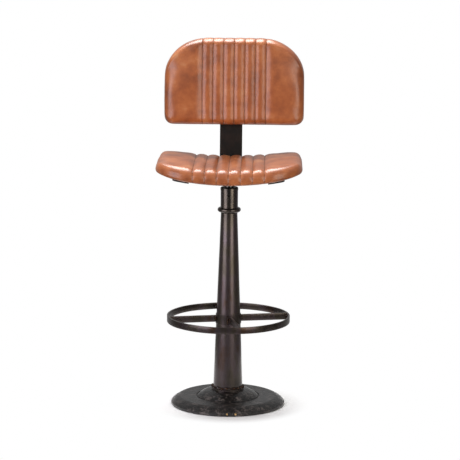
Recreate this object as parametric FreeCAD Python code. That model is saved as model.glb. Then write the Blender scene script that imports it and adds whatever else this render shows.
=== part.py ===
import FreeCAD, Part
import math
import os

from FreeCAD import Placement, Rotation, Vector

# Bar stool with a screw-lifted seat. Millimetres, +Z up, the sitter faces -Y.
# The origin is on the floor at the centre of the base.

# General clearances
overrun = 2.0  # how far every cutter runs past the face it cuts
seating_gap = 0.05  # between faces that are pressed, welded or screwed together
running_gap = 0.3  # between parts that move past each other without guiding
fit_clearance = 0.08  # radial, between a guided shaft and its bore

# Cast-iron base
base_diameter = 350.0
base_edge_height = 6.0  # upright lip of the rim
base_flat_diameter = 294.0  # outer edge of the flat band, where the bevel starts
base_flat_height = 25.0  # height of the flat band above the floor
base_bevel_crown = 2.5  # how far the bevel swells past its chord
base_wall = 9.0
rim_land_width = 24.0  # width of the rim's bottom face
groove_width = 3.5
groove_depth = 2.5
dome_diameter = 188.0
dome_height = 21.0  # above the flat band
dome_crown = 4.0
base_hub_diameter = 106.0  # boss under the dome, which the foot bolts pull on
base_hub_thickness = 18.0
rib_count = 6
rib_thickness = 8.0
rib_floor_gap = 5.0

# Floor pads
floor_pad_count = 6
floor_pad_diameter = 20.0
floor_pad_thickness = 3.0
floor_pad_proud = 1.5  # how far the pads lift the rim off the floor
floor_pad_clearance = 0.2

# Foot flange and its bolts
foot_flange_diameter = 98.0
foot_flange_thickness = 6.0
foot_flange_hole = 30.0
foot_bolt_count = 4
foot_bolt_circle = 60.0
foot_bolt_diameter = 10.0
foot_bolt_hole = 11.0
foot_bolt_head_flats = 16.0
foot_bolt_head_height = 6.4
foot_washer_diameter = 20.0
foot_washer_thickness = 2.0
foot_weld_leg = 3.6

# Tapered column
column_length = 548.0
column_bottom_diameter = 90.0
column_top_diameter = 50.0
column_wall = 3.5

# Foot ring, its hub band and spokes
ring_diameter = 378.0
ring_centre_height = 268.5
ring_bar_height = 20.0
ring_bar_thickness = 6.0
spoke_height = 21.0
spoke_thickness = 6.0
spoke_turn = 12.0  # degrees that the cross of spokes is turned from the seat's axes
hub_height = 30.0
hub_wall = 2.0
hub_seam_radius = 2.6
hub_seam_turn = -92.0  # degrees, where the rolled band was closed
spoke_weld_radius = 3.0

# Head of the column: bead ring, sleeve, nut, cap and grub screw
bead_diameter = 71.0
bead_height = 13.5
bead_skirt_height = 3.0
bead_skirt_wall = 1.3
sleeve_diameter = 53.0
sleeve_length = 54.0
spigot_length = 40.0  # part of the sleeve that stands inside the column
spigot_clearance = 0.1
nut_diameter = 36.0
nut_length = 58.0
nut_shoulder = 10.0
nut_shoulder_hole = 30.0
cap_diameter = 54.6
cap_height = 9.0
cap_round = 4.0
cap_spigot_length = 4.0
grub_screw_diameter = 6.0
grub_screw_drop = 24.5  # its axis, below the cap's top
grub_socket_flats = 3.0
grub_socket_depth = 2.5
grub_recess = 0.3

# Screw lift: one turn of the seat raises it by the lead
screw_lead = 8.0
screw_turns = 12.25
lift_travel = screw_lead * screw_turns

# Guide tube and guide bush
guide_bore = 34.0
guide_tube_wall = 3.0
guide_tube_below = 20.0  # tube left below the bush at its lowest
bush_length = 20.0
bush_stop_clearance = 1.5  # left above the bush when the seat is at its highest

# Spindle
spindle_diameter = 24.0
spindle_collar_diameter = 28.0
spindle_neck = 10.0  # collar height, the neck seen under the seat
journal_diameter = 16.0
end_bolt_diameter = 8.0
end_bolt_length = 24.0
end_bolt_head_flats = 13.0
end_bolt_head_height = 5.3
end_washer_diameter = 26.0
end_washer_thickness = 2.5

# Spindle flange
spindle_flange_diameter = 80.0
spindle_flange_thickness = 6.0
flange_screw_count = 4
flange_screw_circle = 56.0
flange_screw_diameter = 8.0
flange_screw_hole = 8.5
flange_screw_head = 16.0
flange_screw_head_height = 4.4
flange_screw_recess = 0.2

# Back bar
bar_width = 70.0
bar_thickness = 8.0
bar_front_reach = 80.0  # how far it runs forward of the spindle
bar_bend_radius = 16.0  # inside the bend
bar_corner_radius = 10.0
bar_seat_gap = 4.0  # behind the seat pad at the height of its underside
recline = 7.0  # degrees
bar_above_pad_foot = 215.0  # how far it runs up behind the back pad

# Seat pad
seat_width = 442.0
seat_depth = 383.0
seat_front_corner = 105.0
seat_back_corner = 68.0
seat_underside_radius = 815.0  # side-to-side curve of the saddle
seat_thickness = 42.5  # in the middle
seat_side_thickness = 28.0  # at the very side, before its edges are rounded
seat_crown = 3.0
seat_top_edge = 26.0
seat_bottom_edge = 9.0
seat_side_top_edge = 19.0
seat_side_bottom_edge = 8.0
seat_channel_width = 35.5
channel_count = 6
channel_crown = 4.5
panel_puff = 2.5  # how far the plain sides stand above their seams

# Seat board, its cover and the steel seat plate
board_thickness = 12.0
board_inset = 11.0  # leather and foam outside the board's edge
board_clearance = 0.3
cover_thickness = 1.0
cover_inset = 14.0
plate_width = 334.0
plate_front = 168.0  # from the spindle to the tips of its two front tongues
plate_back = 150.0
plate_recess_width = 236.0  # between the tongues
plate_recess_front = 124.0  # from the spindle to the front edge between the tongues
plate_thickness = 5.0
plate_corner = 12.0
wood_screw_diameter = 5.0
wood_screw_hole = 5.6
wood_screw_head = 10.0
wood_screw_head_height = 3.0
wood_screw_depth = 9.0  # thread inside the board
wood_screw_rows = (-110.0, 110.0)  # from the spindle, front to back
wood_screw_lines = (-140.0, -70.0, 70.0, 140.0)  # along the curve, side to side

# Back pad
back_shift = 9.0  # the back is bolted this much to the right of the bar's middle
back_width = 436.0
back_height = 270.0
back_thickness = 48.0
back_rise = 135.7  # from the seat's underside to the pad's foot, along the bar
back_foot_corner = 27.0
back_shoulder_width = 140.0
back_shoulder_height = 118.0
back_front_edge = 17.0
back_rear_edge = 6.0
back_swell = 4.0  # how far the front face stands out at half its height
back_channel_width = 33.0
back_bolt_diameter = 8.0
back_bolt_hole = 8.5
back_bolt_head = 16.0
back_bolt_head_height = 4.4
back_bolt_rows = (48.0, 198.0)  # above the pad's foot
back_bolt_spread = 36.0
back_bolt_depth = 10.0
back_washer_diameter = 20.0
back_washer_thickness = 1.6

# Shares of a channel's width where its crown is shaped
channel_shares = (0.0, 0.15, 0.38, 0.62, 0.85, 1.0)

# Shares of the way from the outer seam to the side where the plain panels are shaped
panel_shares = (0.0, 0.07, 0.22, 0.44, 0.63, 0.78, 0.89, 0.955, 0.988, 1.0)
puff_shares = (0.0, 0.7, 1.0, 1.0, 1.0, 1.0, 1.0, 1.0, 1.0, 1.0)
round_limit_share = 0.45  # most of a section's thickness that one rounding may take

# Heights from the floor, stacked from the sizes above
dome_top = base_flat_height + dome_height
column_foot = dome_top + foot_flange_thickness
column_top = column_foot + column_length
sleeve_foot = column_top + bead_height
sleeve_top = sleeve_foot + sleeve_length
cap_top = sleeve_top + cap_height
nut_top = sleeve_top - cap_spigot_length
nut_foot = nut_top - nut_length
guide_top = nut_foot - nut_shoulder
spigot_foot = column_top - spigot_length
bush_top = guide_top - bush_stop_clearance - lift_travel
bush_foot = bush_top - bush_length
journal_top = bush_top + running_gap
journal_foot = bush_foot - running_gap
collar_foot = cap_top + running_gap
flange_foot = collar_foot + spindle_neck
bar_foot = flange_foot + spindle_flange_thickness
plate_foot = bar_foot + bar_thickness
cover_foot = plate_foot + plate_thickness
seat_underside = cover_foot + cover_thickness
curve_centre = seat_underside + seat_underside_radius

# Side-to-side curve of the seat's top, from the curve below it and the side's thickness
seat_half_width = seat_width / 2
seat_side_lift = seat_underside_radius - math.sqrt(seat_underside_radius**2 - seat_half_width**2)
seat_top_rise = seat_side_lift + seat_side_thickness - seat_thickness
seat_top_radius = (seat_half_width**2 + seat_top_rise**2) / (2 * seat_top_rise)

UP = Vector(0, 0, 1)
ACROSS = Vector(1, 0, 0)
BACKWARD = Vector(0, 1, 0)


def along(angle, distance=1.0):
    """Level vector at an angle in degrees from +X."""
    turn = math.radians(angle)
    return Vector(distance * math.cos(turn), distance * math.sin(turn), 0)


def round_steps(count, start=0.0):
    """Evenly spaced angles round the axis."""
    return [start + step * 360.0 / count for step in range(count)]


def closed_wire(start, *steps):
    """Outline through points. A step that is a pair is an arc: its middle, then its end."""
    edges = []
    here = start
    for step in steps:
        if isinstance(step, tuple):
            middle, end = step
            edges.append(Part.Arc(here, middle, end).toShape())
        else:
            end = step
            edges.append(Part.makeLine(here, end))
        here = end
    if (here - start).Length > seating_gap / 10:
        edges.append(Part.makeLine(here, start))
    return Part.Wire(edges)


def turned(start, *steps):
    """Solid of revolution about the vertical axis, from points of radius and height."""
    profile = Part.Face(closed_wire(start, *steps))
    return profile.revolve(Vector(0, 0, 0), UP, 360)


def at(radius, height):
    """Point of a turned profile."""
    return Vector(radius, 0, height)


def swell(start, end, crown):
    """Middle of an arc from start up to end that stands out from its chord by crown."""
    chord = end - start
    outward = Vector(chord.z, 0, -chord.x)
    outward.normalize()
    return (start + end) * 0.5 + outward * crown


def disc(diameter, height, foot, centre=Vector(0, 0, 0)):
    """Upright round bar."""
    return Part.makeCylinder(diameter / 2, height, centre + UP * foot)


def pipe(outer, inner, height, foot):
    """Upright tube."""
    bore = disc(inner, height + 2 * overrun, foot - overrun)
    return disc(outer, height, foot).cut(bore)


def hexagon(flats, height, foot, centre=Vector(0, 0, 0)):
    """Upright hexagonal bar."""
    corner = flats / math.sqrt(3)
    points = [centre + along(angle, corner) + UP * foot for angle in round_steps(6)]
    return Part.Face(Part.makePolygon(points + points[:1])).extrude(UP * height)


def fused(shapes):
    """One solid from several that touch or overlap."""
    whole = shapes[0].multiFuse(shapes[1:])
    return whole.removeSplitter()


def save(shape, node):
    """Write one node."""
    shape.exportStep("parts/" + node + ".step")


def column_radius(height):
    """Outer radius of the tapered column at a height from the floor."""
    share = (height - column_foot) / column_length
    return (column_bottom_diameter * (1 - share) + column_top_diameter * share) / 2


def foot_bolt_places():
    first = 180.0 / foot_bolt_count
    return [along(angle, foot_bolt_circle / 2) for angle in round_steps(foot_bolt_count, first)]


def floor_pad_places():
    circle = (base_diameter - rim_land_width) / 2
    first = 180.0 / floor_pad_count
    return [along(angle, circle) for angle in round_steps(floor_pad_count, first)]


def base_rib(angle):
    """Web from the hub boss to the rim under the casting."""
    inner = base_hub_diameter / 2 - overrun
    outer = base_diameter / 2 - rim_land_width + overrun
    ceiling = base_flat_height - base_wall + overrun
    dome_edge = dome_diameter / 2 - base_wall
    low = floor_pad_proud + rib_floor_gap
    high = dome_top - base_wall
    profile = closed_wire(
        at(inner, low),
        at(outer, low),
        at(outer, ceiling),
        at(dome_edge, ceiling),
        at(inner, high),
    )
    web = Part.Face(profile).extrude(BACKWARD * rib_thickness)
    web.translate(BACKWARD * (-rib_thickness / 2))
    web.rotate(Vector(0, 0, 0), UP, angle)
    return web


def base_casting():
    """Rim, flat band, groove and dome above; hollow below, with ribs and a boss."""
    rim = base_diameter / 2
    land = rim - rim_land_width
    edge_top = floor_pad_proud + base_edge_height
    flat = base_flat_diameter / 2
    dome = dome_diameter / 2
    crown_edge = foot_flange_diameter / 2
    boss = base_hub_diameter / 2
    ceiling = base_flat_height - base_wall
    boss_top = dome_top - base_wall
    bevel = swell(at(rim, edge_top), at(flat, base_flat_height), base_bevel_crown)
    dome_side = swell(at(dome, base_flat_height), at(crown_edge, dome_top), dome_crown)
    body = turned(
        at(0, dome_top - base_hub_thickness),
        at(boss, dome_top - base_hub_thickness),
        at(boss, boss_top - dome_crown),
        at(dome - base_wall, ceiling),
        at(land, ceiling),
        at(land, floor_pad_proud),
        at(rim, floor_pad_proud),
        at(rim, edge_top),
        (bevel, at(flat, base_flat_height)),
        at(dome + groove_width, base_flat_height),
        at(dome + groove_width, base_flat_height - groove_depth),
        at(dome, base_flat_height - groove_depth),
        at(dome, base_flat_height),
        (dome_side, at(crown_edge, dome_top)),
        at(0, dome_top),
    )
    body = fused([body] + [base_rib(angle) for angle in round_steps(rib_count)])
    cutters = []
    for place in foot_bolt_places():
        cutters.append(disc(foot_bolt_hole, dome_top, overrun, place))
    recess = floor_pad_thickness - floor_pad_proud + seating_gap
    for place in floor_pad_places():
        cutters.append(
            disc(
                floor_pad_diameter + 2 * floor_pad_clearance,
                recess + overrun,
                floor_pad_proud - overrun,
                place,
            )
        )
    return body.cut(Part.makeCompound(cutters))


def floor_pads():
    """Felt pads let into the rim."""
    pads = [
        disc(floor_pad_diameter, floor_pad_thickness, 0, place) for place in floor_pad_places()
    ]
    return Part.makeCompound(pads)


def foot_flange():
    """Disc under the column, tapped for the foot bolts."""
    flange = disc(foot_flange_diameter, foot_flange_thickness, dome_top)
    cutters = [disc(foot_flange_hole, dome_top, dome_top - overrun)]
    for place in foot_bolt_places():
        tapped = foot_bolt_diameter + 2 * seating_gap
        cutters.append(disc(tapped, dome_top, dome_top - overrun, place))
    return flange.cut(Part.makeCompound(cutters))


def foot_bolts():
    """Hexagon bolts that come up through the casting into the foot flange."""
    head_top = dome_top - base_hub_thickness - foot_washer_thickness
    shank_length = column_foot - head_top
    bolts = []
    for place in foot_bolt_places():
        head_foot = head_top - foot_bolt_head_height
        head = hexagon(foot_bolt_head_flats, foot_bolt_head_height, head_foot, place)
        shank = disc(foot_bolt_diameter, shank_length, head_top, place)
        bolts.append(fused([head, shank]))
    return Part.makeCompound(bolts)


def foot_washers():
    """Plain washers under the foot bolts' heads."""
    foot = dome_top - base_hub_thickness - foot_washer_thickness
    washers = []
    for place in foot_bolt_places():
        washer = disc(foot_washer_diameter, foot_washer_thickness, foot, place)
        hole = disc(foot_bolt_hole, dome_top, overrun, place)
        washers.append(washer.cut(hole))
    return Part.makeCompound(washers)


def foot_weld():
    """Bead run round the column where it stands on the foot flange."""
    root = column_radius(column_foot) + seating_gap
    top = column_radius(column_foot + foot_weld_leg) + seating_gap
    toe = at(root + foot_weld_leg, column_foot)
    crest = at(top, column_foot + foot_weld_leg)
    middle = swell(toe, crest, foot_weld_leg / 6)
    return turned(at(root, column_foot), toe, (middle, crest))


def column_tube():
    """Tapered tube from the foot flange to the bead ring."""
    bottom = column_bottom_diameter / 2
    top = column_top_diameter / 2
    return turned(
        at(bottom, column_foot),
        at(top, column_top),
        at(top - column_wall, column_top),
        at(bottom - column_wall, column_foot),
    )


def hub_cone(outward):
    """Solid cone that follows the column at the foot ring, a distance outside it."""
    foot = ring_centre_height - hub_height / 2
    top = ring_centre_height + hub_height / 2
    return turned(
        at(0, foot),
        at(column_radius(foot) + outward, foot),
        at(column_radius(top) + outward, top),
        at(0, top),
    )


def foot_ring_hub():
    """Band rolled round the column, which the spokes are welded to."""
    return hub_cone(seating_gap + hub_wall).cut(hub_cone(seating_gap))


def hub_seam_weld():
    """Upright bead that closes the rolled band at the front."""
    foot = ring_centre_height - hub_height / 2
    top = ring_centre_height + hub_height / 2
    outward = seating_gap + hub_wall
    low = along(hub_seam_turn, column_radius(foot) + outward) + UP * foot
    high = along(hub_seam_turn, column_radius(top) + outward) + UP * top
    bead = Part.makeCylinder(hub_seam_radius, (high - low).Length, low, high - low)
    return bead.cut(hub_cone(outward + seating_gap))


def foot_ring():
    """Flat bar on edge, bent to a circle and closed."""
    inner = ring_diameter - 2 * ring_bar_thickness
    return pipe(ring_diameter, inner, ring_bar_height, ring_centre_height - ring_bar_height / 2)


def foot_spoke(angle):
    """Flat bar on edge from the hub band to the ring."""
    reach = ring_diameter / 2
    bar = Part.makeBox(
        reach,
        spoke_thickness,
        spoke_height,
        Vector(0, -spoke_thickness / 2, ring_centre_height - spoke_height / 2),
    )
    bar.rotate(Vector(0, 0, 0), UP, angle)
    inside = disc(
        ring_diameter - 2 * (ring_bar_thickness + seating_gap),
        2 * spoke_height,
        ring_centre_height - spoke_height,
    )
    return bar.common(inside).cut(hub_cone(hub_wall + 2 * seating_gap))


def spoke_side_beads(radius, trim):
    """Upright beads in the two corners beside each spoke, at a radius, cut by trim."""
    beads = []
    offset = spoke_thickness / 2 + seating_gap
    foot = ring_centre_height - ring_bar_height / 2
    for angle in round_steps(4, spoke_turn):
        for side in (-1, 1):
            centre = along(angle, radius) + along(angle + 90, side * offset)
            bead = disc(2 * spoke_weld_radius, ring_bar_height, foot, centre)
            slot = Part.makeBox(
                ring_diameter / 2,
                2 * offset,
                2 * ring_bar_height,
                Vector(0, -offset, foot - ring_bar_height / 2),
            )
            slot.rotate(Vector(0, 0, 0), UP, angle)
            beads.append(trim(bead.cut(slot)))
    return Part.makeCompound(beads)


def spoke_root_welds():
    """Beads between the spokes and the hub band."""
    hub = hub_cone(hub_wall + 2 * seating_gap)
    radius = column_radius(ring_centre_height) + hub_wall
    return spoke_side_beads(radius, lambda bead: bead.cut(hub))


def spoke_tip_welds():
    """Beads between the spokes and the ring."""
    radius = ring_diameter / 2 - ring_bar_thickness
    foot = ring_centre_height - spoke_height
    inside = disc(2 * (radius - seating_gap), 2 * spoke_height, foot)
    return spoke_side_beads(radius, lambda bead: bead.common(inside))


def spigot_radius():
    return column_top_diameter / 2 - column_wall - spigot_clearance


def bead_ring():
    """Half-round ring between column and sleeve, with a thin skirt over the column."""
    round_radius = bead_height / 2
    bore = spigot_radius() + seating_gap
    centre = bead_diameter / 2 - round_radius
    skirt = column_radius(column_top - bead_skirt_height) + seating_gap
    skirt_foot = column_top - bead_skirt_height
    return turned(
        at(bore, column_top),
        at(skirt, column_top),
        at(skirt, skirt_foot),
        at(skirt + bead_skirt_wall / 2, skirt_foot),
        at(skirt + bead_skirt_wall, column_top),
        at(centre, column_top),
        (at(bead_diameter / 2, column_top + round_radius), at(centre, sleeve_foot)),
        at(bore, sleeve_foot),
    )


def head_sleeve():
    """Sleeve with a pocket for the nut and a spigot that stands in the column."""
    body = turned(
        at(guide_bore / 2, spigot_foot),
        at(spigot_radius(), spigot_foot),
        at(spigot_radius(), sleeve_foot),
        at(sleeve_diameter / 2, sleeve_foot),
        at(sleeve_diameter / 2, sleeve_top),
        at(nut_diameter / 2, sleeve_top),
        at(nut_diameter / 2, nut_foot),
        at(nut_shoulder_hole / 2, nut_foot),
        at(nut_shoulder_hole / 2, guide_top),
        at(guide_bore / 2, guide_top),
    )
    hole = Part.makeCylinder(
        grub_screw_diameter / 2 + seating_gap,
        sleeve_diameter,
        UP * (cap_top - grub_screw_drop),
        BACKWARD * -1,
    )
    return body.cut(hole)


def spindle_nut():
    """Bronze nut that the spindle climbs through."""
    return pipe(
        nut_diameter - 2 * seating_gap,
        spindle_diameter + 2 * fit_clearance,
        nut_length - seating_gap,
        nut_foot + seating_gap,
    )


def head_grub_screw():
    """Socket screw that locks the nut in the sleeve."""
    height = cap_top - grub_screw_drop
    inner = nut_diameter / 2 + seating_gap
    outer = sleeve_diameter / 2 - grub_recess
    screw = Part.makeCylinder(grub_screw_diameter / 2, outer - inner, UP * inner)
    socket_foot = outer - grub_socket_depth
    screw = screw.cut(hexagon(grub_socket_flats, grub_socket_depth + overrun, socket_foot))
    screw.rotate(Vector(0, 0, 0), ACROSS, 90)
    screw.translate(UP * height)
    return screw


def head_cap():
    """Cap with a rounded lip that closes the sleeve above the nut."""
    rim = cap_diameter / 2
    bore = spindle_diameter / 2 + running_gap
    spigot = nut_diameter / 2 - seating_gap
    turn = cap_round * math.sqrt(0.5)
    lip = at(rim - cap_round + turn, cap_top - cap_round + turn)
    return turned(
        at(bore, nut_top + seating_gap),
        at(spigot, nut_top + seating_gap),
        at(spigot, sleeve_top),
        at(rim, sleeve_top),
        at(rim, cap_top - cap_round),
        (lip, at(rim - cap_round, cap_top)),
        at(bore, cap_top),
    )


def guide_tube():
    """Straight tube hung under the spigot, which the bush runs in."""
    foot = bush_foot - guide_tube_below
    outer = guide_bore + 2 * guide_tube_wall
    return pipe(outer, guide_bore, spigot_foot - foot, foot)


def guide_bush():
    """Nylon bush that centres the spindle's lower end and stops it under the nut."""
    outer = guide_bore - 2 * fit_clearance
    bore = journal_diameter + 2 * fit_clearance
    return pipe(outer, bore, bush_length, bush_foot)


def spindle():
    """Lifting screw with its collar above and its journal below."""
    bar = fused(
        [
            disc(journal_diameter, journal_top - journal_foot, journal_foot),
            disc(spindle_diameter, bar_foot - journal_top, journal_top),
            disc(spindle_collar_diameter, spindle_neck, collar_foot),
        ]
    )
    tapped = end_bolt_diameter + 2 * seating_gap
    return bar.cut(disc(tapped, end_bolt_length + overrun, journal_foot - overrun))


def spindle_end_washer():
    """Washer that holds the bush on the journal."""
    foot = journal_foot - end_washer_thickness
    hole = end_bolt_diameter + 2 * running_gap
    return pipe(end_washer_diameter, hole, end_washer_thickness, foot)


def spindle_end_bolt():
    """Bolt in the spindle's lower end."""
    head_top = journal_foot - end_washer_thickness
    head_foot = head_top - end_bolt_head_height
    head = hexagon(end_bolt_head_flats, end_bolt_head_height, head_foot)
    return fused([head, disc(end_bolt_diameter, end_bolt_length, head_top)])


def flange_screw_places():
    first = 180.0 / flange_screw_count
    return [
        along(angle, flange_screw_circle / 2) for angle in round_steps(flange_screw_count, first)
    ]


def spindle_flange():
    """Disc welded on the spindle's collar and tapped for the flange screws."""
    hole = spindle_diameter + 2 * seating_gap
    flange = pipe(spindle_flange_diameter, hole, spindle_flange_thickness, flange_foot)
    for place in flange_screw_places():
        tapped = flange_screw_diameter + 2 * seating_gap
        flange = flange.cut(disc(tapped, bar_thickness + overrun, flange_foot - overrun, place))
    return flange


def flange_screw(place, grow):
    """Countersunk screw from the plate's top to the flange's foot, or its grown hole."""
    head_top = cover_foot - flange_screw_recess
    cone_foot = head_top - flange_screw_head_height
    shank = disc(flange_screw_diameter + 2 * grow, head_top - flange_foot, flange_foot, place)
    cone = Part.makeCone(
        flange_screw_diameter / 2 + grow,
        flange_screw_head / 2 + grow,
        flange_screw_head_height,
        place + UP * cone_foot,
    )
    return fused([shank, cone])


def flange_screws():
    """Countersunk screws through plate and bar into the spindle flange."""
    return Part.makeCompound([flange_screw(place, 0) for place in flange_screw_places()])


def flange_screw_cuts():
    """Clearance for the flange screws, open upward."""
    grow = (flange_screw_hole - flange_screw_diameter) / 2
    cuts = []
    for place in flange_screw_places():
        cuts.append(flange_screw(place, grow))
        head = flange_screw_head + 2 * grow
        cuts.append(disc(head, plate_thickness, cover_foot - flange_screw_recess, place))
    return Part.makeCompound(cuts)


def plan_prism(width, front, back, front_corner, back_corner, foot, height):
    """Upright prism with a rounded four-sided plan."""
    side = width / 2
    soft = math.sqrt(0.5)
    fx = side - front_corner
    bx = side - back_corner
    fy = front + front_corner
    by = back - back_corner
    f = front_corner * soft
    b = back_corner * soft
    outline = closed_wire(
        Vector(-fx, front, foot),
        Vector(fx, front, foot),
        (Vector(fx + f, fy - f, foot), Vector(side, fy, foot)),
        Vector(side, by, foot),
        (Vector(bx + b, by + b, foot), Vector(bx, back, foot)),
        Vector(-bx, back, foot),
        (Vector(-bx - b, by + b, foot), Vector(-side, by, foot)),
        Vector(-side, fy, foot),
        (Vector(-fx - f, fy - f, foot), Vector(-fx, front, foot)),
    )
    return Part.Face(outline).extrude(UP * height)


def curved_sheet(plan, inner, outer):
    """The part of a plan prism between two cylinders about the saddle's axis."""
    start = Vector(0, -seat_depth, curve_centre)
    shell = Part.makeCylinder(outer, 2 * seat_depth, start, BACKWARD)
    shell = shell.cut(Part.makeCylinder(inner, 2 * seat_depth, start, BACKWARD))
    return plan.common(shell)


def seat_plan(inset, foot, height):
    """Prism inside the seat pad's outline by an inset."""
    return plan_prism(
        seat_width - 2 * inset,
        -seat_depth / 2 + inset,
        seat_depth / 2 - inset,
        seat_front_corner - inset,
        seat_back_corner - inset,
        foot,
        height,
    )


def wood_screw(row, line, grow, recess):
    """Pan-head wood screw square to the curved underside, or its grown hole."""
    head_top = plate_foot + recess
    reach = plate_thickness + cover_thickness + wood_screw_depth - recess
    shank = disc(wood_screw_diameter + 2 * grow, reach, head_top, BACKWARD * row)
    head = disc(wood_screw_head, wood_screw_head_height, head_top - wood_screw_head_height)
    head.translate(BACKWARD * row)
    screw = shank if grow else fused([head, shank])
    screw.rotate(Vector(0, 0, curve_centre), BACKWARD, -math.degrees(line / seat_underside_radius))
    return screw


def wood_screw_places():
    return [(row, line) for row in wood_screw_rows for line in wood_screw_lines]


def seat_wood_screws():
    """Wood screws through the plate and cover into the seat board."""
    screws = [wood_screw(row, line, 0, -seating_gap) for row, line in wood_screw_places()]
    return Part.makeCompound(screws)


def wood_screw_cuts(hole):
    """Holes for the wood screws, of a given diameter."""
    grow = (hole - wood_screw_diameter) / 2
    cuts = [wood_screw(row, line, grow, -overrun) for row, line in wood_screw_places()]
    return Part.makeCompound(cuts)


def seat_plate():
    """Curved steel plate that the seat board is screwed down on."""
    plan = plan_prism(
        plate_width,
        -plate_front,
        plate_back,
        plate_corner,
        plate_corner,
        bar_foot,
        2 * seat_thickness,
    )
    recess = plan_prism(
        plate_recess_width,
        -plate_front - 2 * plate_corner,
        -plate_recess_front,
        plate_corner,
        plate_corner,
        bar_foot - overrun,
        2 * seat_thickness + 2 * overrun,
    )
    inner = seat_underside_radius + cover_thickness
    sheet = plan.cut(recess)
    plate = curved_sheet(sheet, inner + seating_gap, inner + plate_thickness - seating_gap)
    return plate.cut(flange_screw_cuts()).cut(wood_screw_cuts(wood_screw_hole))


def seat_cover():
    """Thin black cloth that hides the board and the leather's turned-in edge."""
    plan = seat_plan(cover_inset, bar_foot, 2 * seat_thickness)
    inner = seat_underside_radius
    sheet = curved_sheet(plan, inner + seating_gap, inner + cover_thickness)
    return sheet.cut(wood_screw_cuts(wood_screw_hole))


def seat_board_blank(inset, above, below):
    """Board shape inside the pad's outline, grown above and below."""
    plan = seat_plan(inset, bar_foot, 2 * seat_thickness)
    inner = seat_underside_radius - board_thickness - above
    return curved_sheet(plan, inner, seat_underside_radius + below)


def seat_board():
    """Moulded plywood under the foam."""
    pilot = wood_screw_diameter + 2 * seating_gap
    return seat_board_blank(board_inset, 0, 0).cut(wood_screw_cuts(pilot))


def edge_drop(radius, distance):
    """How far a rounded edge has fallen at a distance in from its outermost point."""
    if distance >= radius:
        return 0.0
    return radius - math.sqrt(max(radius**2 - (radius - distance) ** 2, 0))


def soft_section(place, start, end, board, face, board_edge, face_edge, crown):
    """Cross-section of a pad: bevelled on the board's side, rounded and crowned on the face."""
    soft = face_edge * (1 - math.sqrt(0.5))
    return closed_wire(
        place(start + board_edge, board),
        place(end - board_edge, board),
        place(end, board + board_edge),
        place(end, face - face_edge),
        (place(end - soft, face - soft), place(end - face_edge, face)),
        (place((start + end) / 2, face + crown), place(start + face_edge, face)),
        (place(start + soft, face - soft), place(start, face - face_edge)),
        place(start, board + board_edge),
        place(start + board_edge, board),
    )


def seat_section(x, lift):
    """Seat pad's cross-section at x, with the leather lifted off its seams by lift."""
    away = seat_width / 2 - abs(x)
    front = -seat_depth / 2 + edge_drop(seat_front_corner, away) - lift
    back = seat_depth / 2 - edge_drop(seat_back_corner, away) + lift
    underside = curve_centre - math.sqrt(seat_underside_radius**2 - x**2)
    rise = seat_top_radius - math.sqrt(seat_top_radius**2 - x**2)
    low = underside + edge_drop(seat_side_bottom_edge, away)
    high = seat_underside + seat_thickness + rise + lift
    high = high - edge_drop(seat_side_top_edge, away)
    most = round_limit_share * (high - low)

    def place(depth, height):
        return Vector(x, depth, height)

    low_edge = min(seat_bottom_edge, most)
    high_edge = min(seat_top_edge, most)
    return soft_section(place, front, back, low, high, low_edge, high_edge, seat_crown)


def channelled(section, channel_width, side):
    """Pad lofted across: sewn channels in the middle and a plain panel on each side."""
    seam = channel_count * channel_width / 2
    lengths = []
    for number in range(channel_count):
        stations = []
        for share in channel_shares:
            x = (number + share) * channel_width - seam
            stations.append(section(x, channel_crown * 4 * share * (1 - share)))
        lengths.append(Part.makeLoft(stations, True, True))
    for hand in (-1, 1):
        stations = []
        for share, puff in zip(panel_shares, puff_shares):
            x = hand * (seam + share * (side - seam))
            stations.append(section(x, puff * panel_puff))
        lengths.append(Part.makeLoft(stations, True, True))
    return lengths[0].multiFuse(lengths[1:])


def seat_pad():
    """Leather and foam seat, hollowed from below for the board."""
    pad = channelled(seat_section, seat_channel_width, seat_width / 2)
    pocket = seat_board_blank(board_inset - board_clearance, board_clearance, overrun)
    return pad.cut(pocket)


def back_foot():
    """Where the upright's front face crosses the level of the seat's underside."""
    return Vector(0, seat_depth / 2 + channel_crown + bar_seat_gap, seat_underside)


def lean(shape):
    """Put a shape made upright, with the bar's front face at y = 0, in its place."""
    shape.Placement = Placement(back_foot(), Rotation(ACROSS, -recline)).multiply(shape.Placement)
    return shape


def back_bolt_places():
    half = back_bolt_spread / 2
    return [(side * half, back_rise + row) for row in back_bolt_rows for side in (-1, 1)]


def back_bolt_hole_cut(diameter, start, reach):
    """Level holes for the back bolts, from start forward."""
    cuts = []
    for x, height in back_bolt_places():
        cuts.append(
            Part.makeCylinder(diameter / 2, reach, Vector(x, start, height), BACKWARD * -1)
        )
    return Part.makeCompound(cuts)


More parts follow.
